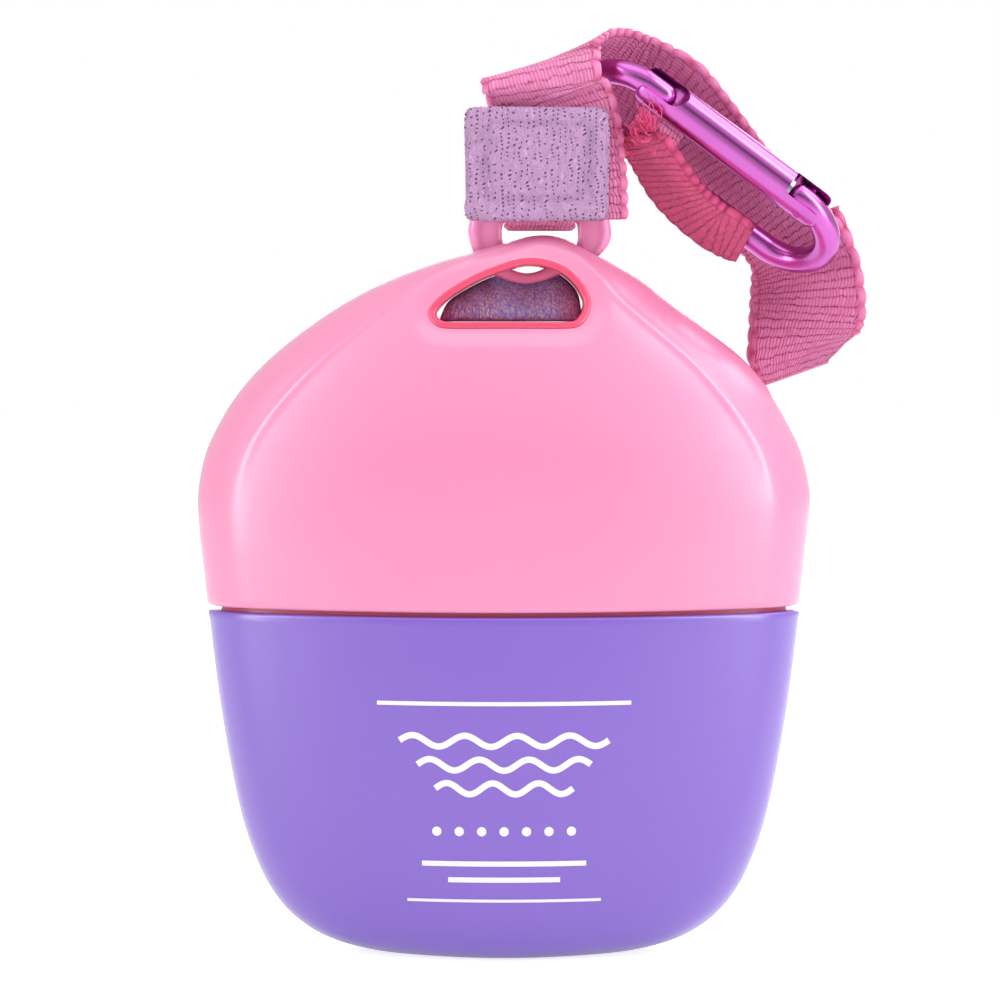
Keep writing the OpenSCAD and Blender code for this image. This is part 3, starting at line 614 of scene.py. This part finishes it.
# Hang ring. A pink moulded ring that stands in the cap's slot. Its arms have a round outer bead and a flat face
# set back inside it, and its lower bow is thin where it shows in the window.
bead_share, bead_run_share, inner_share, set_back_share = 0.42, 0.12, -0.9, 0.26


def squared(angle, power):
    """Cosine and sine on an eased square, which is the squarer the higher the power."""
    return [np.sign(f)*np.abs(f)**(2/power) for f in (np.cos(angle), np.sin(angle))]


def ring_rings():
    """Sections of the ring: an eased bar between the two outlines, set back but for its outer bead."""
    (x, z), (half_x, half_z) = ((ring_out + ring_in)/2).T, ((ring_out - ring_in)/2).T
    low = np.clip((ring_h*0.1 - z + ring_z)/(ring_h*0.5), 0, 1)
    thick = ring_t + (bow_t - ring_t)*low
    sections = []
    for angle in angles(40):
        out, side = squared(angle, 3.2)
        back_by = set_back_share*(inner_share < out < bead_share)*min(1, (bead_share - out)/bead_run_share)
        sections.append(xyz(x + half_x*out, -thick/2*side*(1 - back_by*(1 - low)), z + half_z*out))
    return sections


hang_ring = ring_piece("hang_ring_moulding", ring_rings(), 60)
ring_pink = moulded("ring_pink", (255, 152, 206), (254, 146, 202), 0.26, 0.6, 0.25)
finish_piece(hang_ring, ring_pink, "strap", "ring_pink", "hang_ring")


# Window pad. A folded piece of purple terry cloth, seen through the window behind the ring's bow. It is a soft
# roll whose folds spread from the bow, covered with small loops.
pad_back, pad_lean, fold_count = 0.12*half_d, 0.8, 7
pad_room, pad_lift, fold_share, slim_share = 0.12, 0.04, 0.10, 0.16
pad_shares = [
    [-0.482, 0.35, 0.10], [-0.45, 0.85, 0.24], [-0.40, 1, 0.34], [-0.28, 1, 0.40], [-0.14, 1, 0.42],
    [-0.07, 1, 0.42], [0.04, 0.88, 0.42], [0.12, 0.83, 0.42], [0.20, 0.88, 0.42], [0.29, 0.97, 0.42],
    [0.35, 1, 0.40], [0.42, 1, 0.34], [0.47, 0.95, 0.24], [0.488, 0.6, 0.10]]


def pad_rings():
    """Upright sections across the pad, each an eased oval that rests on the sill, under the window's outline."""
    top = window[:window[:, 0].argmax() + 1]
    out, up = squared(angles(96), 2.6)
    rings = []
    for across, share, deep in curve(pad_shares, 12):
        x = window_x + across*window_w
        high = (min(share, 1)*(np.interp(x, top[:, 0], top[:, 1]) - sill_z) - pad_room)/2
        fan = np.sin(2*np.pi*fold_count*across*(1.15 - 0.4*up))
        spread = 1 + fold_share*fan*np.clip(up + 0.35, 0, 1) - slim_share*np.clip(up - 0.1, 0, 1)
        y = pad_back + deep*window_h*out*spread + pad_lean*high*up
        rings.append(xyz(x, y, sill_z + pad_lift + high + high*up))
    return rings


def build_terry_loops():
    """Terry cloth: close small loops from a cell pattern, each a rounded bump, and dark gaps between them. The
    tone follows the height, so the gaps are painted shade, slowly varied by clouds.
    """
    group, given, out = new_group("terry_loops", {"Loops": 2600.0}, "Height", "Tone_and_painted_light")
    do = partial(math_node, group)
    place = group.nodes.new("ShaderNodeTexCoord").outputs["Object"]
    stretch = wire(group, group.nodes.new("ShaderNodeMapping"), {"Vector": place, "Scale": (1.0, 1.0, 0.55)})
    cells = wire(group, group.nodes.new("ShaderNodeTexVoronoi"), {
        "Vector": stretch.outputs["Vector"], "Scale": given["Loops"], "Randomness": 0.85})
    loop = do("SUBTRACT", 1.0, cells.outputs["Distance"])
    high = do("ADD", do("MULTIPLY", loop, 0.75), do("MULTIPLY", noise(group, place, 5200.0, 3.0, 0.6), 0.35))
    slow = do("ADD", noise(group, place, 260.0), 0.75)
    wire(group, out, {"Height": high, "Tone_and_painted_light": do("MULTIPLY", do("POWER", high, 1.6), slow)})
    return group


terry_loops = build_terry_loops()


def cloth_material(name, group, dark, light, depth, rough=0.85, sheen=0.35):
    """Cloth whose colour runs from dark gaps, painted shade, to light fibres, painted highlight, with its height
    as bump and a sheen.
    """
    return textured(name, group, dark, light, depth, {
        "Roughness": rough, "Sheen Weight": sheen, "Sheen Roughness": 0.5})[0]


# The light end is nearly white: painted light that lifts the pad out of the window's shade.
purple_terry = cloth_material("purple_terry", terry_loops, (136, 126, 255), (240, 248, 255), 0.00032)
pad = make_piece("window_pad_terry", *closed_skin(pad_rings()), sharp=180)
finish_piece(pad, purple_terry, "cap", "pile_purple", "window_pad")


# Strap. A woven polyester webbing, 18 mm wide and 1.3 mm thick: rows of slanting floats across the band with
# small pits between them, and a beaded edge along each side. It is carried along a line from behind the tab,
# over the carabiner's nose and down to a fold. Keeper, ring loop and tack have the same weave.
web_w, web_t = 18, 1.3
bead_pitch, rib_pitch = 1.9, 2.1
bead_place_share, bead_w_share, bead_t_share, swell_share = 0.955, 0.035, 0.12, 0.08


def folded(do, value):
    """How far a value is from the middle of its whole step: 0 there and 1 at both ends."""
    return do("ABSOLUTE", do("MULTIPLY_ADD", do("FRACT", value), 2.0, -1.0))


def flat_place(group, x, y):
    """Vector of two numbers or sockets."""
    return wire(group, group.nodes.new("ShaderNodeCombineXYZ"), {0: x, 1: y}).outputs[0]


def cell_chance(group, column, row):
    """Chance value from 0 to 1 of a cell, given by its whole column and row."""
    cell = wire(group, group.nodes.new("ShaderNodeTexWhiteNoise"), {"Vector": flat_place(group, column, row)})
    return cell.outputs["Value"]


def cloth_place(group):
    """A cloth's own place in mm: the vector, and its parts across and along."""
    place = group.nodes.new("ShaderNodeUVMap")
    place.uv_map = "cloth"
    split = wire(group, group.nodes.new("ShaderNodeSeparateXYZ"), {0: place.outputs["UV"]})
    return place.outputs["UV"], split.outputs["X"], split.outputs["Y"]


def build_webbing_weave():
    """Weave in the band's own UV, in mm: rows of slanting floats, pits between the rows that come and go, a line
    after every second row, and a chain of beads along each edge. The tone is the same height: lighter on the
    floats' crowns and the beads as painted highlight, darker in the pits, lines and edge groove as painted
    shade, and varied at random by cell, fibre and cloud."""
    group, given, out = new_group("webbing_weave", {"Row": 1.05, "Float": 0.54}, "Height", "Tone_and_painted_light")
    do = partial(math_node, group)
    place, u, v = cloth_place(group)
    wander = do("SUBTRACT", noise(group, place, 0.7), 0.5)
    row = do("DIVIDE", do("MULTIPLY_ADD", wander, 0.8, v), given["Row"])
    index = do("FLOOR", row)
    slant = do("MULTIPLY_ADD", do("FRACT", row), 0.45, do("MULTIPLY", do("PINGPONG", index, 1.0), 0.5))
    column = do("ADD", do("DIVIDE", do("MULTIPLY_ADD", wander, 0.4, u), given["Float"]), slant)
    luck = cell_chance(group, do("FLOOR", column), index)
    yarn = do("SUBTRACT", 1.0, do("POWER", folded(do, column), 2.4))
    gap = do("MULTIPLY", do("POWER", folded(do, row), 5.0), do("MULTIPLY", luck, 0.95))
    line = do("POWER", folded(do, do("MULTIPLY", row, 0.5)), 12.0)
    fibre = noise(group, flat_place(group, do("MULTIPLY", u, 12.0), do("MULTIPLY", v, 2.0)), 1.0, 3.0, 0.6)
    stray = do("SUBTRACT", fibre, 0.5)
    body = do("SUBTRACT", do("MULTIPLY_ADD", yarn, 0.42, 0.5), do("MULTIPLY", gap, 0.95))
    body = do("MULTIPLY_ADD", stray, 0.45, do("SUBTRACT", body, do("MULTIPLY", line, 0.16)))
    side = do("ABSOLUTE", u)
    from_groove = do("MULTIPLY", do("ABSOLUTE", do("SUBTRACT", side, 7.85)), 4.0)
    groove = do("MAXIMUM", do("SUBTRACT", 1.0, from_groove), 0.0)
    bead = do("MULTIPLY_ADD", do("ABSOLUTE", do("SINE", do("MULTIPLY", v, math.pi/bead_pitch))), 0.5, 0.3)
    chain = wire(group, group.nodes.new("ShaderNodeMix"), {
        0: ranged(group, side, 0.0, 1.0, 7.9, 8.15), 2: body, 3: do("MULTIPLY_ADD", stray, 0.3, bead)})
    whole = do("SUBTRACT", chain.outputs[0], do("MULTIPLY", groove, 0.35))
    varied = do("MULTIPLY_ADD", do("SUBTRACT", luck, 0.5), 0.2, whole)
    slow = do("MULTIPLY_ADD", noise(group, place, 0.3), 0.5, 0.75)
    wire(group, out, {"Height": whole, "Tone_and_painted_light": do("MULTIPLY", varied, slow)})
    return group


def band(stations, origin, reach, parts, width=web_w, thick=web_t, columns=34, ribs=0.10, scallop=0.04):
    """Webbing carried along a smooth line. Each station is a place, a direction across and a share of the width,
    with a share of skew where the band folds askew. The edges swell into beads, and shallow ribs run across both
    faces. UV is the place across and along, in mm."""
    mid = np.asarray(origin) + curve([s[0] for s in stations], parts)*reach
    rough = curve([s[1] for s in stations], parts)
    wide = curve([s[2:3] for s in stations], parts)*width/2
    skew = curve([s[3:] or [0] for s in stations], parts)
    ahead = unit(np.gradient(mid, axis=0))
    side = unit(rough - (1 - skew)*(rough*ahead).sum(1, keepdims=True)*ahead)
    up = unit(np.cross(ahead, side))
    along = np.append(0, np.cumsum(np.linalg.norm(np.diff(mid, axis=0), axis=1)))[:, None]
    c = np.linspace(-1, 1, columns)
    bead = np.exp(-((np.abs(c) - bead_place_share)/bead_w_share)**2)
    half = thick/2*(np.sqrt(np.maximum(1 - np.abs(c)**16, 0))*(1 - bead_t_share) + bead_t_share*bead)
    swell = np.abs(np.sin(np.pi*along/bead_pitch))**0.7
    rib = 1 - ribs*(0.5 - 0.5*np.cos(2*np.pi*along/rib_pitch))
    rings, uvs = [], []
    for face in (1, -1):
        order = slice(None, None, face)
        lift = half[order]*rib + swell_share*thick*bead[order]*swell
        x = c[order]*wide*(1 - scallop + scallop*swell)
        rings.append(mid[:, None] + side[:, None]*x[..., None] + face*up[:, None]*lift[..., None])
        uvs.append(np.stack(np.broadcast_arrays(c[order]*width/2, along), -1))
    length = along[-1, 0]
    uv = np.vstack([np.concatenate(uvs, 1).reshape(-1, 2), [[0, 0], [0, length]]])
    return closed_skin(np.concatenate(rings, 1)), uv, length


webbing_weave = build_webbing_weave()
webbing = cloth_material("pink_webbing", webbing_weave, (196, 14, 90), (255, 156, 210), 0.00028, 0.7, 0.1)
bar_r, strap_reach = 1.65, 50
bar_z = ring_z + ring_h/2 - bar_r
strap_origin = (ring_x, 0, bar_z)
strap_shares = [
    [[0.06, -0.081, -0.035], [1, 0, 0], 1], [[0.058, -0.081, 0.071], [1, 0, 0], 1],
    [[0.048, -0.081, 0.201], [1, 0, 0], 0.98], [[0.032, -0.08, 0.275], [1, -0.03, -0.02], 0.95],
    [[0.014, -0.102, 0.309], [0.99, -0.12, 0.02], 0.92], [[0.004, -0.124, 0.339], [0.98, -0.16, 0.14], 0.92],
    [[0, -0.108, 0.371], [0.96, -0.13, 0.23], 0.94], [[0.009, -0.058, 0.387], [0.94, -0.11, 0.31], 0.97],
    [[0.044, 0, 0.393], [0.92, -0.18, 0.35], 1], [[0.094, 0.052, 0.393], [0.86, -0.31, 0.41], 1],
    [[0.154, 0.094, 0.379], [0.76, -0.43, 0.49], 1], [[0.222, 0.12, 0.353], [0.64, -0.54, 0.55], 1],
    [[0.292, 0.128, 0.323], [0.53, -0.6, 0.6], 1], [[0.355, 0.134, 0.289], [0.46, -0.64, 0.61], 1],
    [[0.437, 0.144, 0.203], [0.47, -0.71, 0.52], 1], [[0.529, 0.164, 0.093], [0.49, -0.74, 0.46], 1],
    [[0.621, 0.184, 0.005], [0.55, -0.72, 0.42], 1], [[0.695, 0.196, -0.069], [0.63, -0.7, 0.35], 1],
    [[0.743, 0.2, -0.153], [0.73, -0.62, 0.27], 1], [[0.756, 0.198, -0.251], [0.83, -0.52, 0.21], 0.98],
    [[0.747, 0.204, -0.33], [0.94, -0.3, 0.13], 0.89, 0.6], [[0.734, 0.222, -0.39], [0.96, -0.1, 0.24], 0.83, 1],
    [[0.72, 0.25, -0.448], [0.93, 0.05, 0.33], 0.56, 1], [[0.734, 0.278, -0.39], [0.96, -0.1, 0.24], 0.83, 1],
    [[0.745, 0.278, -0.33], [0.94, -0.3, 0.13], 0.89, 0.6], [[0.75, 0.274, -0.239], [0.83, -0.52, 0.21], 0.98],
    [[0.742, 0.268, -0.127], [0.72, -0.63, 0.28], 1], [[0.71, 0.272, -0.039], [0.64, -0.67, 0.38], 1]]

shape, cloth_uv, strap_length = band(strap_shares, strap_origin, strap_reach, 20)
strap = make_piece("wrist_strap_webbing", *shape, sharp=75, uv=cloth_uv)
finish_piece(strap, webbing, "strap", "webbing", "strap_webbing")


# Keeper. A shorter, narrower length of the same webbing, its colours painted darker than the strap's as shade,
# stretched in front of the carabiner's spine, with loose threads at its cut end.
painted_shade_webbing = cloth_material(
    "painted_shade_webbing", webbing_weave, (138, 4, 58), (246, 92, 150), 0.00026, 0.75, 0.06)
keeper_shares = [
    [[0.264, -0.086, 0.201], [0.5, -0.74, 0.45], 0.38], [[0.274, -0.072, 0.181], [0.44, -0.8, 0.4], 0.48],
    [[0.31, -0.046, 0.139], [0.4, -0.86, 0.3], 0.56], [[0.38, 0.016, 0.041], [0.38, -0.88, 0.28], 0.66],
    [[0.462, 0.046, -0.035], [0.38, -0.88, 0.28], 0.68], [[0.522, 0.04, -0.072], [0.35, -0.87, 0.32], 0.66],
    [[0.566, 0.037, -0.097], [0.35, -0.85, 0.38], 0.52]]
thread_r, thread_uv, thread_lengths, fray_depth = 0.075, 0.27, (1.5, 3.8), 2.5


def frayed(shape, uv, root, across, ahead, count):
    """A band with loose threads at its cut end: bent fine tubes that start along the end and spread away."""
    rng = np.random.default_rng(7)
    bend, t = angles(5)[:, None], np.linspace(0, 1, 9)[:, None]
    shells = [shape]
    for _ in range(count):
        start = root + across*rng.uniform(-1, 1) + ahead*rng.uniform(0, fray_depth)
        heading = unit(-ahead*rng.uniform(0.6, 1.2) + rng.normal(0, 0.35, 3)*[1, 0.4, 1] + [0, -0.1, 0])
        curl, length = rng.normal(0, 1, 3), rng.uniform(*thread_lengths)
        line = start + heading*length*t + curl*length*0.3*np.sin(2.6*t)*t
        aside = unit(np.cross(heading, [0.3, 0.5, 0.8]))
        ring = thread_r*(aside*np.cos(bend) + np.cross(heading, aside)*np.sin(bend))
        shells.append(closed_skin(line[:, None] + ring))
    points, faces = joined(shells)
    return (points, faces), np.vstack([uv, np.full((len(points) - len(uv), 2), thread_uv)])


shape, cloth_uv, keeper_length = band(keeper_shares, strap_origin, strap_reach, 24, ribs=0.05)
end_root, end_next = (np.asarray(strap_origin) + np.array(keeper_shares[k][0])*strap_reach for k in (0, 1))
end_across, thread_count = np.array([1.7, -2.5, 1.5]), 130
shape, cloth_uv = frayed(shape, cloth_uv, end_root, end_across, unit(end_next - end_root), thread_count)
keeper = make_piece("keeper_band_webbing", *shape, sharp=75, uv=cloth_uv)
finish_piece(keeper, painted_shade_webbing, "strap", "webbing", "keeper_webbing")


# Ring loop. A narrower length of webbing folded round the ring's top bar, sewn shut above it and hidden there by
# the tab.
wrap_w, wrap_t = 9.8, 1.1
wrap_half = [(0.6, 8.4), (0.6, 4.2), (1.2, 2.7), (2.2, 1.5), (2.62, 0), (1.86, -1.86)]
wrap_line = [(-y, z) for y, z in wrap_half] + [(0, -2.62)] + wrap_half[::-1]
wrap_stations = [[(0, y, z), (1, 0, 0), 1] for y, z in wrap_line]
shape, cloth_uv, wrap_length = band(wrap_stations, strap_origin, 1, 9, wrap_w, wrap_t, 20, 0.12)
wrap = make_piece("ring_loop_webbing", *shape, sharp=75, uv=cloth_uv)
finish_piece(wrap, webbing, "strap", "webbing", "ring_webbing")


# Tab. A patch of looped pile knit, box-stitched to the webbing in front of the ring's loop. Its front is drawn
# in along the stitching.
tab_w, tab_h, tab_t, stitch_inset, stitch_depth = 19.5, 15.4, 1.9, 2.6, 0.5
stitch_w, corner_blend, eased_share, side_share, wave_share = 0.55, 0.9, 0.45, 0.72, 0.006
tab_aside, tab_under, wrap_room, tab_gap = 0.5, 1.9, 0.4, 0.37
tab_x, tab_z = ring_x - tab_aside, bar_z - tab_under + tab_h/2
tab_back = -(bar_r + wrap_room + 1.85*web_t + tab_gap)


def pillow(width, height, thick, back, groove, corner=15.0, loops=40, count=280):
    """Flat cushion: loops of a rounded rectangle from its front's middle, over its eased edge, to its back's
    middle. The front is drawn in along a line a fixed distance inside the edge, where it is stitched."""
    a = angles(count)
    x1, z1 = squared(a, corner)
    rings, uv = [], []
    steps = [(k, 1) for k in np.linspace(0.03, 0.985, loops)] + [(1.0, 0.55), (1.0, -0.3)]
    for k, face in steps + [(k, -1) for k in (0.985, 0.6, 0.05)]:
        wave = 1 + wave_share*k**6*(np.sin(23*a + 1.3) + np.sin(41*a) + 0.8*np.sin(67*a + 0.4))
        x, z = k*x1*width/2*wave, k*z1*height/2*wave
        gaps = (width/2 - np.abs(x), height/2 - np.abs(z))
        soft = -np.log(np.exp(-gaps[0]/corner_blend) + np.exp(-gaps[1]/corner_blend))*corner_blend
        ease = np.clip(np.minimum(*gaps)/(eased_share*thick), 0, 1)
        full = thick*(side_share + (1 - side_share)*np.sqrt(1 - (1 - ease)**2))
        drawn = groove*np.exp(-((soft - stitch_inset)/stitch_w)**2)
        rings.append(xyz(tab_x + x, back - (full - drawn if face == 1 else thick*max(face, 0)), tab_z + z))
        uv.append(np.column_stack([x, z]))
    return closed_skin(rings), np.vstack(uv + [[[0, 0], [0, 0]]])


def build_knit_pile():
    """Brushed knit in the patch's own UV, in mm: upright columns of loops, swirling fibres and dark holes. The
    tone
    follows the height: the holes are painted shade and the fibre ridges painted highlight.
    """
    group, given, out = new_group("knit_pile", {"Column": 0.85}, "Height", "Tone_and_painted_light")
    do = partial(math_node, group)
    place, u, v = cloth_place(group)
    swirl = do("SUBTRACT", noise(group, place, 0.4), 0.5)
    column = do("DIVIDE", do("MULTIPLY_ADD", swirl, 1.8, u), given["Column"])
    stitch = do("DIVIDE", do("MULTIPLY_ADD", swirl, 1.4, v), 0.56)
    stitch = do("ADD", stitch, do("MULTIPLY", do("PINGPONG", do("FLOOR", column), 1.0), 0.5))
    luck = cell_chance(group, do("FLOOR", column), do("FLOOR", stitch))
    sideways = do("POWER", do("MULTIPLY", folded(do, column), 2.6), 2.0)
    endways = do("POWER", do("MULTIPLY", folded(do, stitch), 1.6), 2.0)
    hole = do("MAXIMUM", do("SUBTRACT", 1.0, do("ADD", sideways, endways)), 0.0)
    hole = do("MULTIPLY", hole, do("GREATER_THAN", luck, 0.36))
    flow = flat_place(group, do("MULTIPLY", column, 2.6), do("MULTIPLY", stitch, 0.55))
    fibre = do("MULTIPLY_ADD", noise(group, flow, 1.5, 3.0, twist=1.6), 6.0, -3.0)
    ridge = do("SUBTRACT", 1.0, do("ABSOLUTE", fibre))
    wire(group, out, {
        "Height": do("SUBTRACT", do("MULTIPLY_ADD", ridge, 0.6, 0.45), do("MULTIPLY", hole, 1.4)),
        "Tone_and_painted_light": do("SUBTRACT", do("MULTIPLY_ADD", ridge, 0.6, 0.76), do("MULTIPLY", hole, 1.5))})
    return group


knit_pile = build_knit_pile()
lilac_pile = cloth_material("lilac_pile", knit_pile, (112, 16, 110), (255, 196, 254), 0.00045, 0.9, 0.25)
shape, cloth_uv = pillow(tab_w, tab_h, tab_t, tab_back, stitch_depth)
tab = make_piece("pile_tab_patch", *shape, sharp=180, uv=cloth_uv)
finish_piece(tab, lilac_pile, "strap", "pile_lilac", "pile_tab")


# Carabiner. A bent rod of anodised aluminium, 3.6 mm thick, with a round nose that is notched for the gate's
# pin. Its other end is rounded and sits in the gate, on the rivet.
rod_d, spine_l, bend_r, gate_d, gate_l = 3.6, 25.6, 6.8, 5.3, 30.3
nose_bend, nose_end, nose_slot, notch_x, notch_r, pin_out = 1.3, 3.4, 6.5, 1.9, 0.75, 0.19
hinge_bend = nose_bend + spine_l
dip, twist = math.radians(36.7), math.radians(-33)
gate_place = np.array([ring_x + 0.279*strap_reach, -0.092*strap_reach, bar_z + 0.342*strap_reach])
gate_dip = np.array([[math.cos(dip), 0, math.sin(dip)], [0, 1, 0], [-math.sin(dip), 0, math.cos(dip)]])
gate_twist = np.array([
    [1, 0, 0], [0, math.cos(twist), -math.sin(twist)], [0, math.sin(twist), math.cos(twist)]])


def placed(points):
    """Points from the carabiner's own frame to the object's."""
    return np.asarray(points) @ (gate_dip @ gate_twist).T + gate_place


def rod_line():
    """Middle line of the rod with its radius: round nose tip, nose bend, spine, hinge bend and eased heel."""
    r, tip, bend = rod_d/2, np.radians([89, 75, 60, 45, 30, 15, 0]), np.linspace(0, np.pi, 41)
    reach = bend_r*np.sin(bend)
    heel = [(25.9, 0, 1.8), (25.6, 0, 1.72), (25.25, 0, 1.32), (25.0, 0, 0.8), (24.91, 0, 0.42)]
    return np.vstack([
        xyz(nose_end + r*np.sin(tip), 0, r*np.cos(tip)), xyz(nose_bend - reach, bend_r*(1 - np.cos(bend)), r),
        xyz(hinge_bend + reach, bend_r*(1 + np.cos(bend)), r), heel])


def round_tube(line, sides=48):
    """Tube on a flat line: circles whose plane is square to the line, each with its own radius."""
    across = left_of(np.gradient(line[:, :2], axis=0))
    a, radius = angles(sides), line[:, 2:3]
    x, y = np.moveaxis(line[:, None, :2] + across[:, None, :]*(radius*np.cos(a))[..., None], -1, 0)
    return xyz(x, y, radius*np.sin(a))


anodised_film = grained_skin("anodised_film", 2400.0, 120.0)


def metal(name, colour, shade, rough):
    """Metal whose tone drifts between two close colours, with a fine grain under its gloss."""
    return textured(name, anodised_film, colour, shade, 0.000004, {"Metallic": 1.0, "Roughness": rough})[0]


anodised = metal("violet_pink_anodised", (206, 112, 196), (190, 98, 182), 0.24)
rod_points, rod_faces = closed_skin(round_tube(rod_line()))
frame_rod = make_piece("carabiner_rod", placed(rod_points), rod_faces, sharp=60)


def local_prism(name, outline, low, high, axis):
    """Prism in the carabiner's frame, from an outline in two of its axes, along the third."""
    points, faces = closed_skin([np.insert(outline, axis, end, axis=1) for end in (low, high)])
    return make_piece(name, placed(points), faces)


def disc(x, y, radius):
    """Outline of a circle."""
    a = angles(40)
    return np.column_stack([x + radius*np.cos(a), y + radius*np.sin(a)])


notch = local_prism("notch_cutter", disc(notch_x, rod_d/2 + pin_out, notch_r), -rod_d, rod_d, 2)
cut(frame_rod, (notch,), 40)
bpy.data.objects.remove(notch)
finish_piece(frame_rod, anodised, "carabiner", "anodised", "carabiner_frame")


# Gate. A turned aluminium barrel with a slot across each end: round at the nose and square at the hinge, where a
# rivet holds it. A plunger and a coil spring in its bore push on the rod's end, and a pin across the nose
# latches it.
tip_l, tip_drop, bore_d, bore_in, edge_ease = 1.5, 0.62, 3.4, 0.9, 0.16
slot_room, hinge_in, overrun = 0.4, 2.6, 1.0
slot_w = rod_d + slot_room
half_slot, nose_middle, hinge_slot = slot_w/2, nose_slot - slot_w/2, hinge_bend - hinge_in


def barrel_rings():
    """Circles along the gate, eased to thin round tips at both ends."""
    ends = np.linspace(0, tip_l, 9)
    x = np.concatenate([ends, np.linspace(2, gate_l - 2, 24), gate_l - ends[::-1]])[:, None]
    tip = np.clip(np.minimum(x, gate_l - x)/tip_l, 0, 1)
    radius = gate_d/2 - tip_drop + tip_drop*np.sqrt(1 - (1 - tip)**2)
    a = angles(96)
    return xyz(x, radius*np.cos(a), radius*np.sin(a))


barrel_points, barrel_faces = closed_skin(barrel_rings())
gate = make_piece("gate_barrel", placed(barrel_points), barrel_faces, sharp=40)
bend = np.linspace(-np.pi/2, np.pi/2, 25)
nose_round = np.column_stack([nose_middle + half_slot*np.cos(bend), half_slot*np.sin(bend)])
nose_outline = np.vstack([[-overrun, -half_slot], nose_round, [-overrun, half_slot]])
past_gate = gate_l + overrun
hinge_outline = [
    [past_gate, half_slot], [hinge_slot, half_slot], [hinge_slot, -half_slot], [past_gate, -half_slot]]
cutters = [
    local_prism("nose_cutter", nose_outline, -gate_d, gate_d, 1),
    local_prism("hinge_cutter", hinge_outline, -gate_d, gate_d, 1),
    local_prism("bore_cutter", disc(0, 0, bore_d/2), nose_slot + bore_in, hinge_slot + overrun, 0)]
cut(gate, cutters, 35)
for cutter in cutters:
    bpy.data.objects.remove(cutter)
soften = gate.modifiers.new("eased_edges", "BEVEL")
soften.width, soften.segments = edge_ease*MM, 2
soften.limit_method, soften.angle_limit = "ANGLE", math.radians(40)
finish_piece(gate, anodised, "gate", "anodised", "gate_sleeve")


def paint_node(name, paint):
    """Gives a carried-over node its finish."""
    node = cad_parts[name]
    if not node.material_slots:
        node.data.materials.append(paint)
    for slot in node.material_slots:
        slot.material = paint


steel = metal("spring_steel", (196, 194, 198), (180, 178, 184), 0.3)
for name in ("gate_rivet", "latch_pin"):
    paint_node(name, anodised)
for name in ("gate_plunger", "gate_spring"):
    paint_node(name, steel)


# Tack. A fold of webbing through the carabiner's eye, bar-tacked shut, which joins the two bands. It turns with
# the strap.
tack_w, tack_t = 4.0, 1.7
tack_line = [[(7.0, 10.35, z), (1, 0, 0), 1] for z in (-2.9, -0.5, 2.2, 4.7)]
shape, cloth_uv = band(tack_line, (0, 0, 0), 1, 10, tack_w, tack_t, 14, 0.06, 0.0)[:2]
tack = make_piece("sewn_tack_webbing", placed(shape[0]), shape[1], sharp=75, uv=cloth_uv)
finish_piece(tack, webbing, "strap", "webbing", "sewn_tack")


# Inner cap and seal. A moulded sleeve with a pin, in the same painted-shade pink-red, closes the spout inside
# the cap, on a soft white washer. Both are carried over from the solids.
paint_node("inner_cap", coral)
paint_node("seal_ring", white)
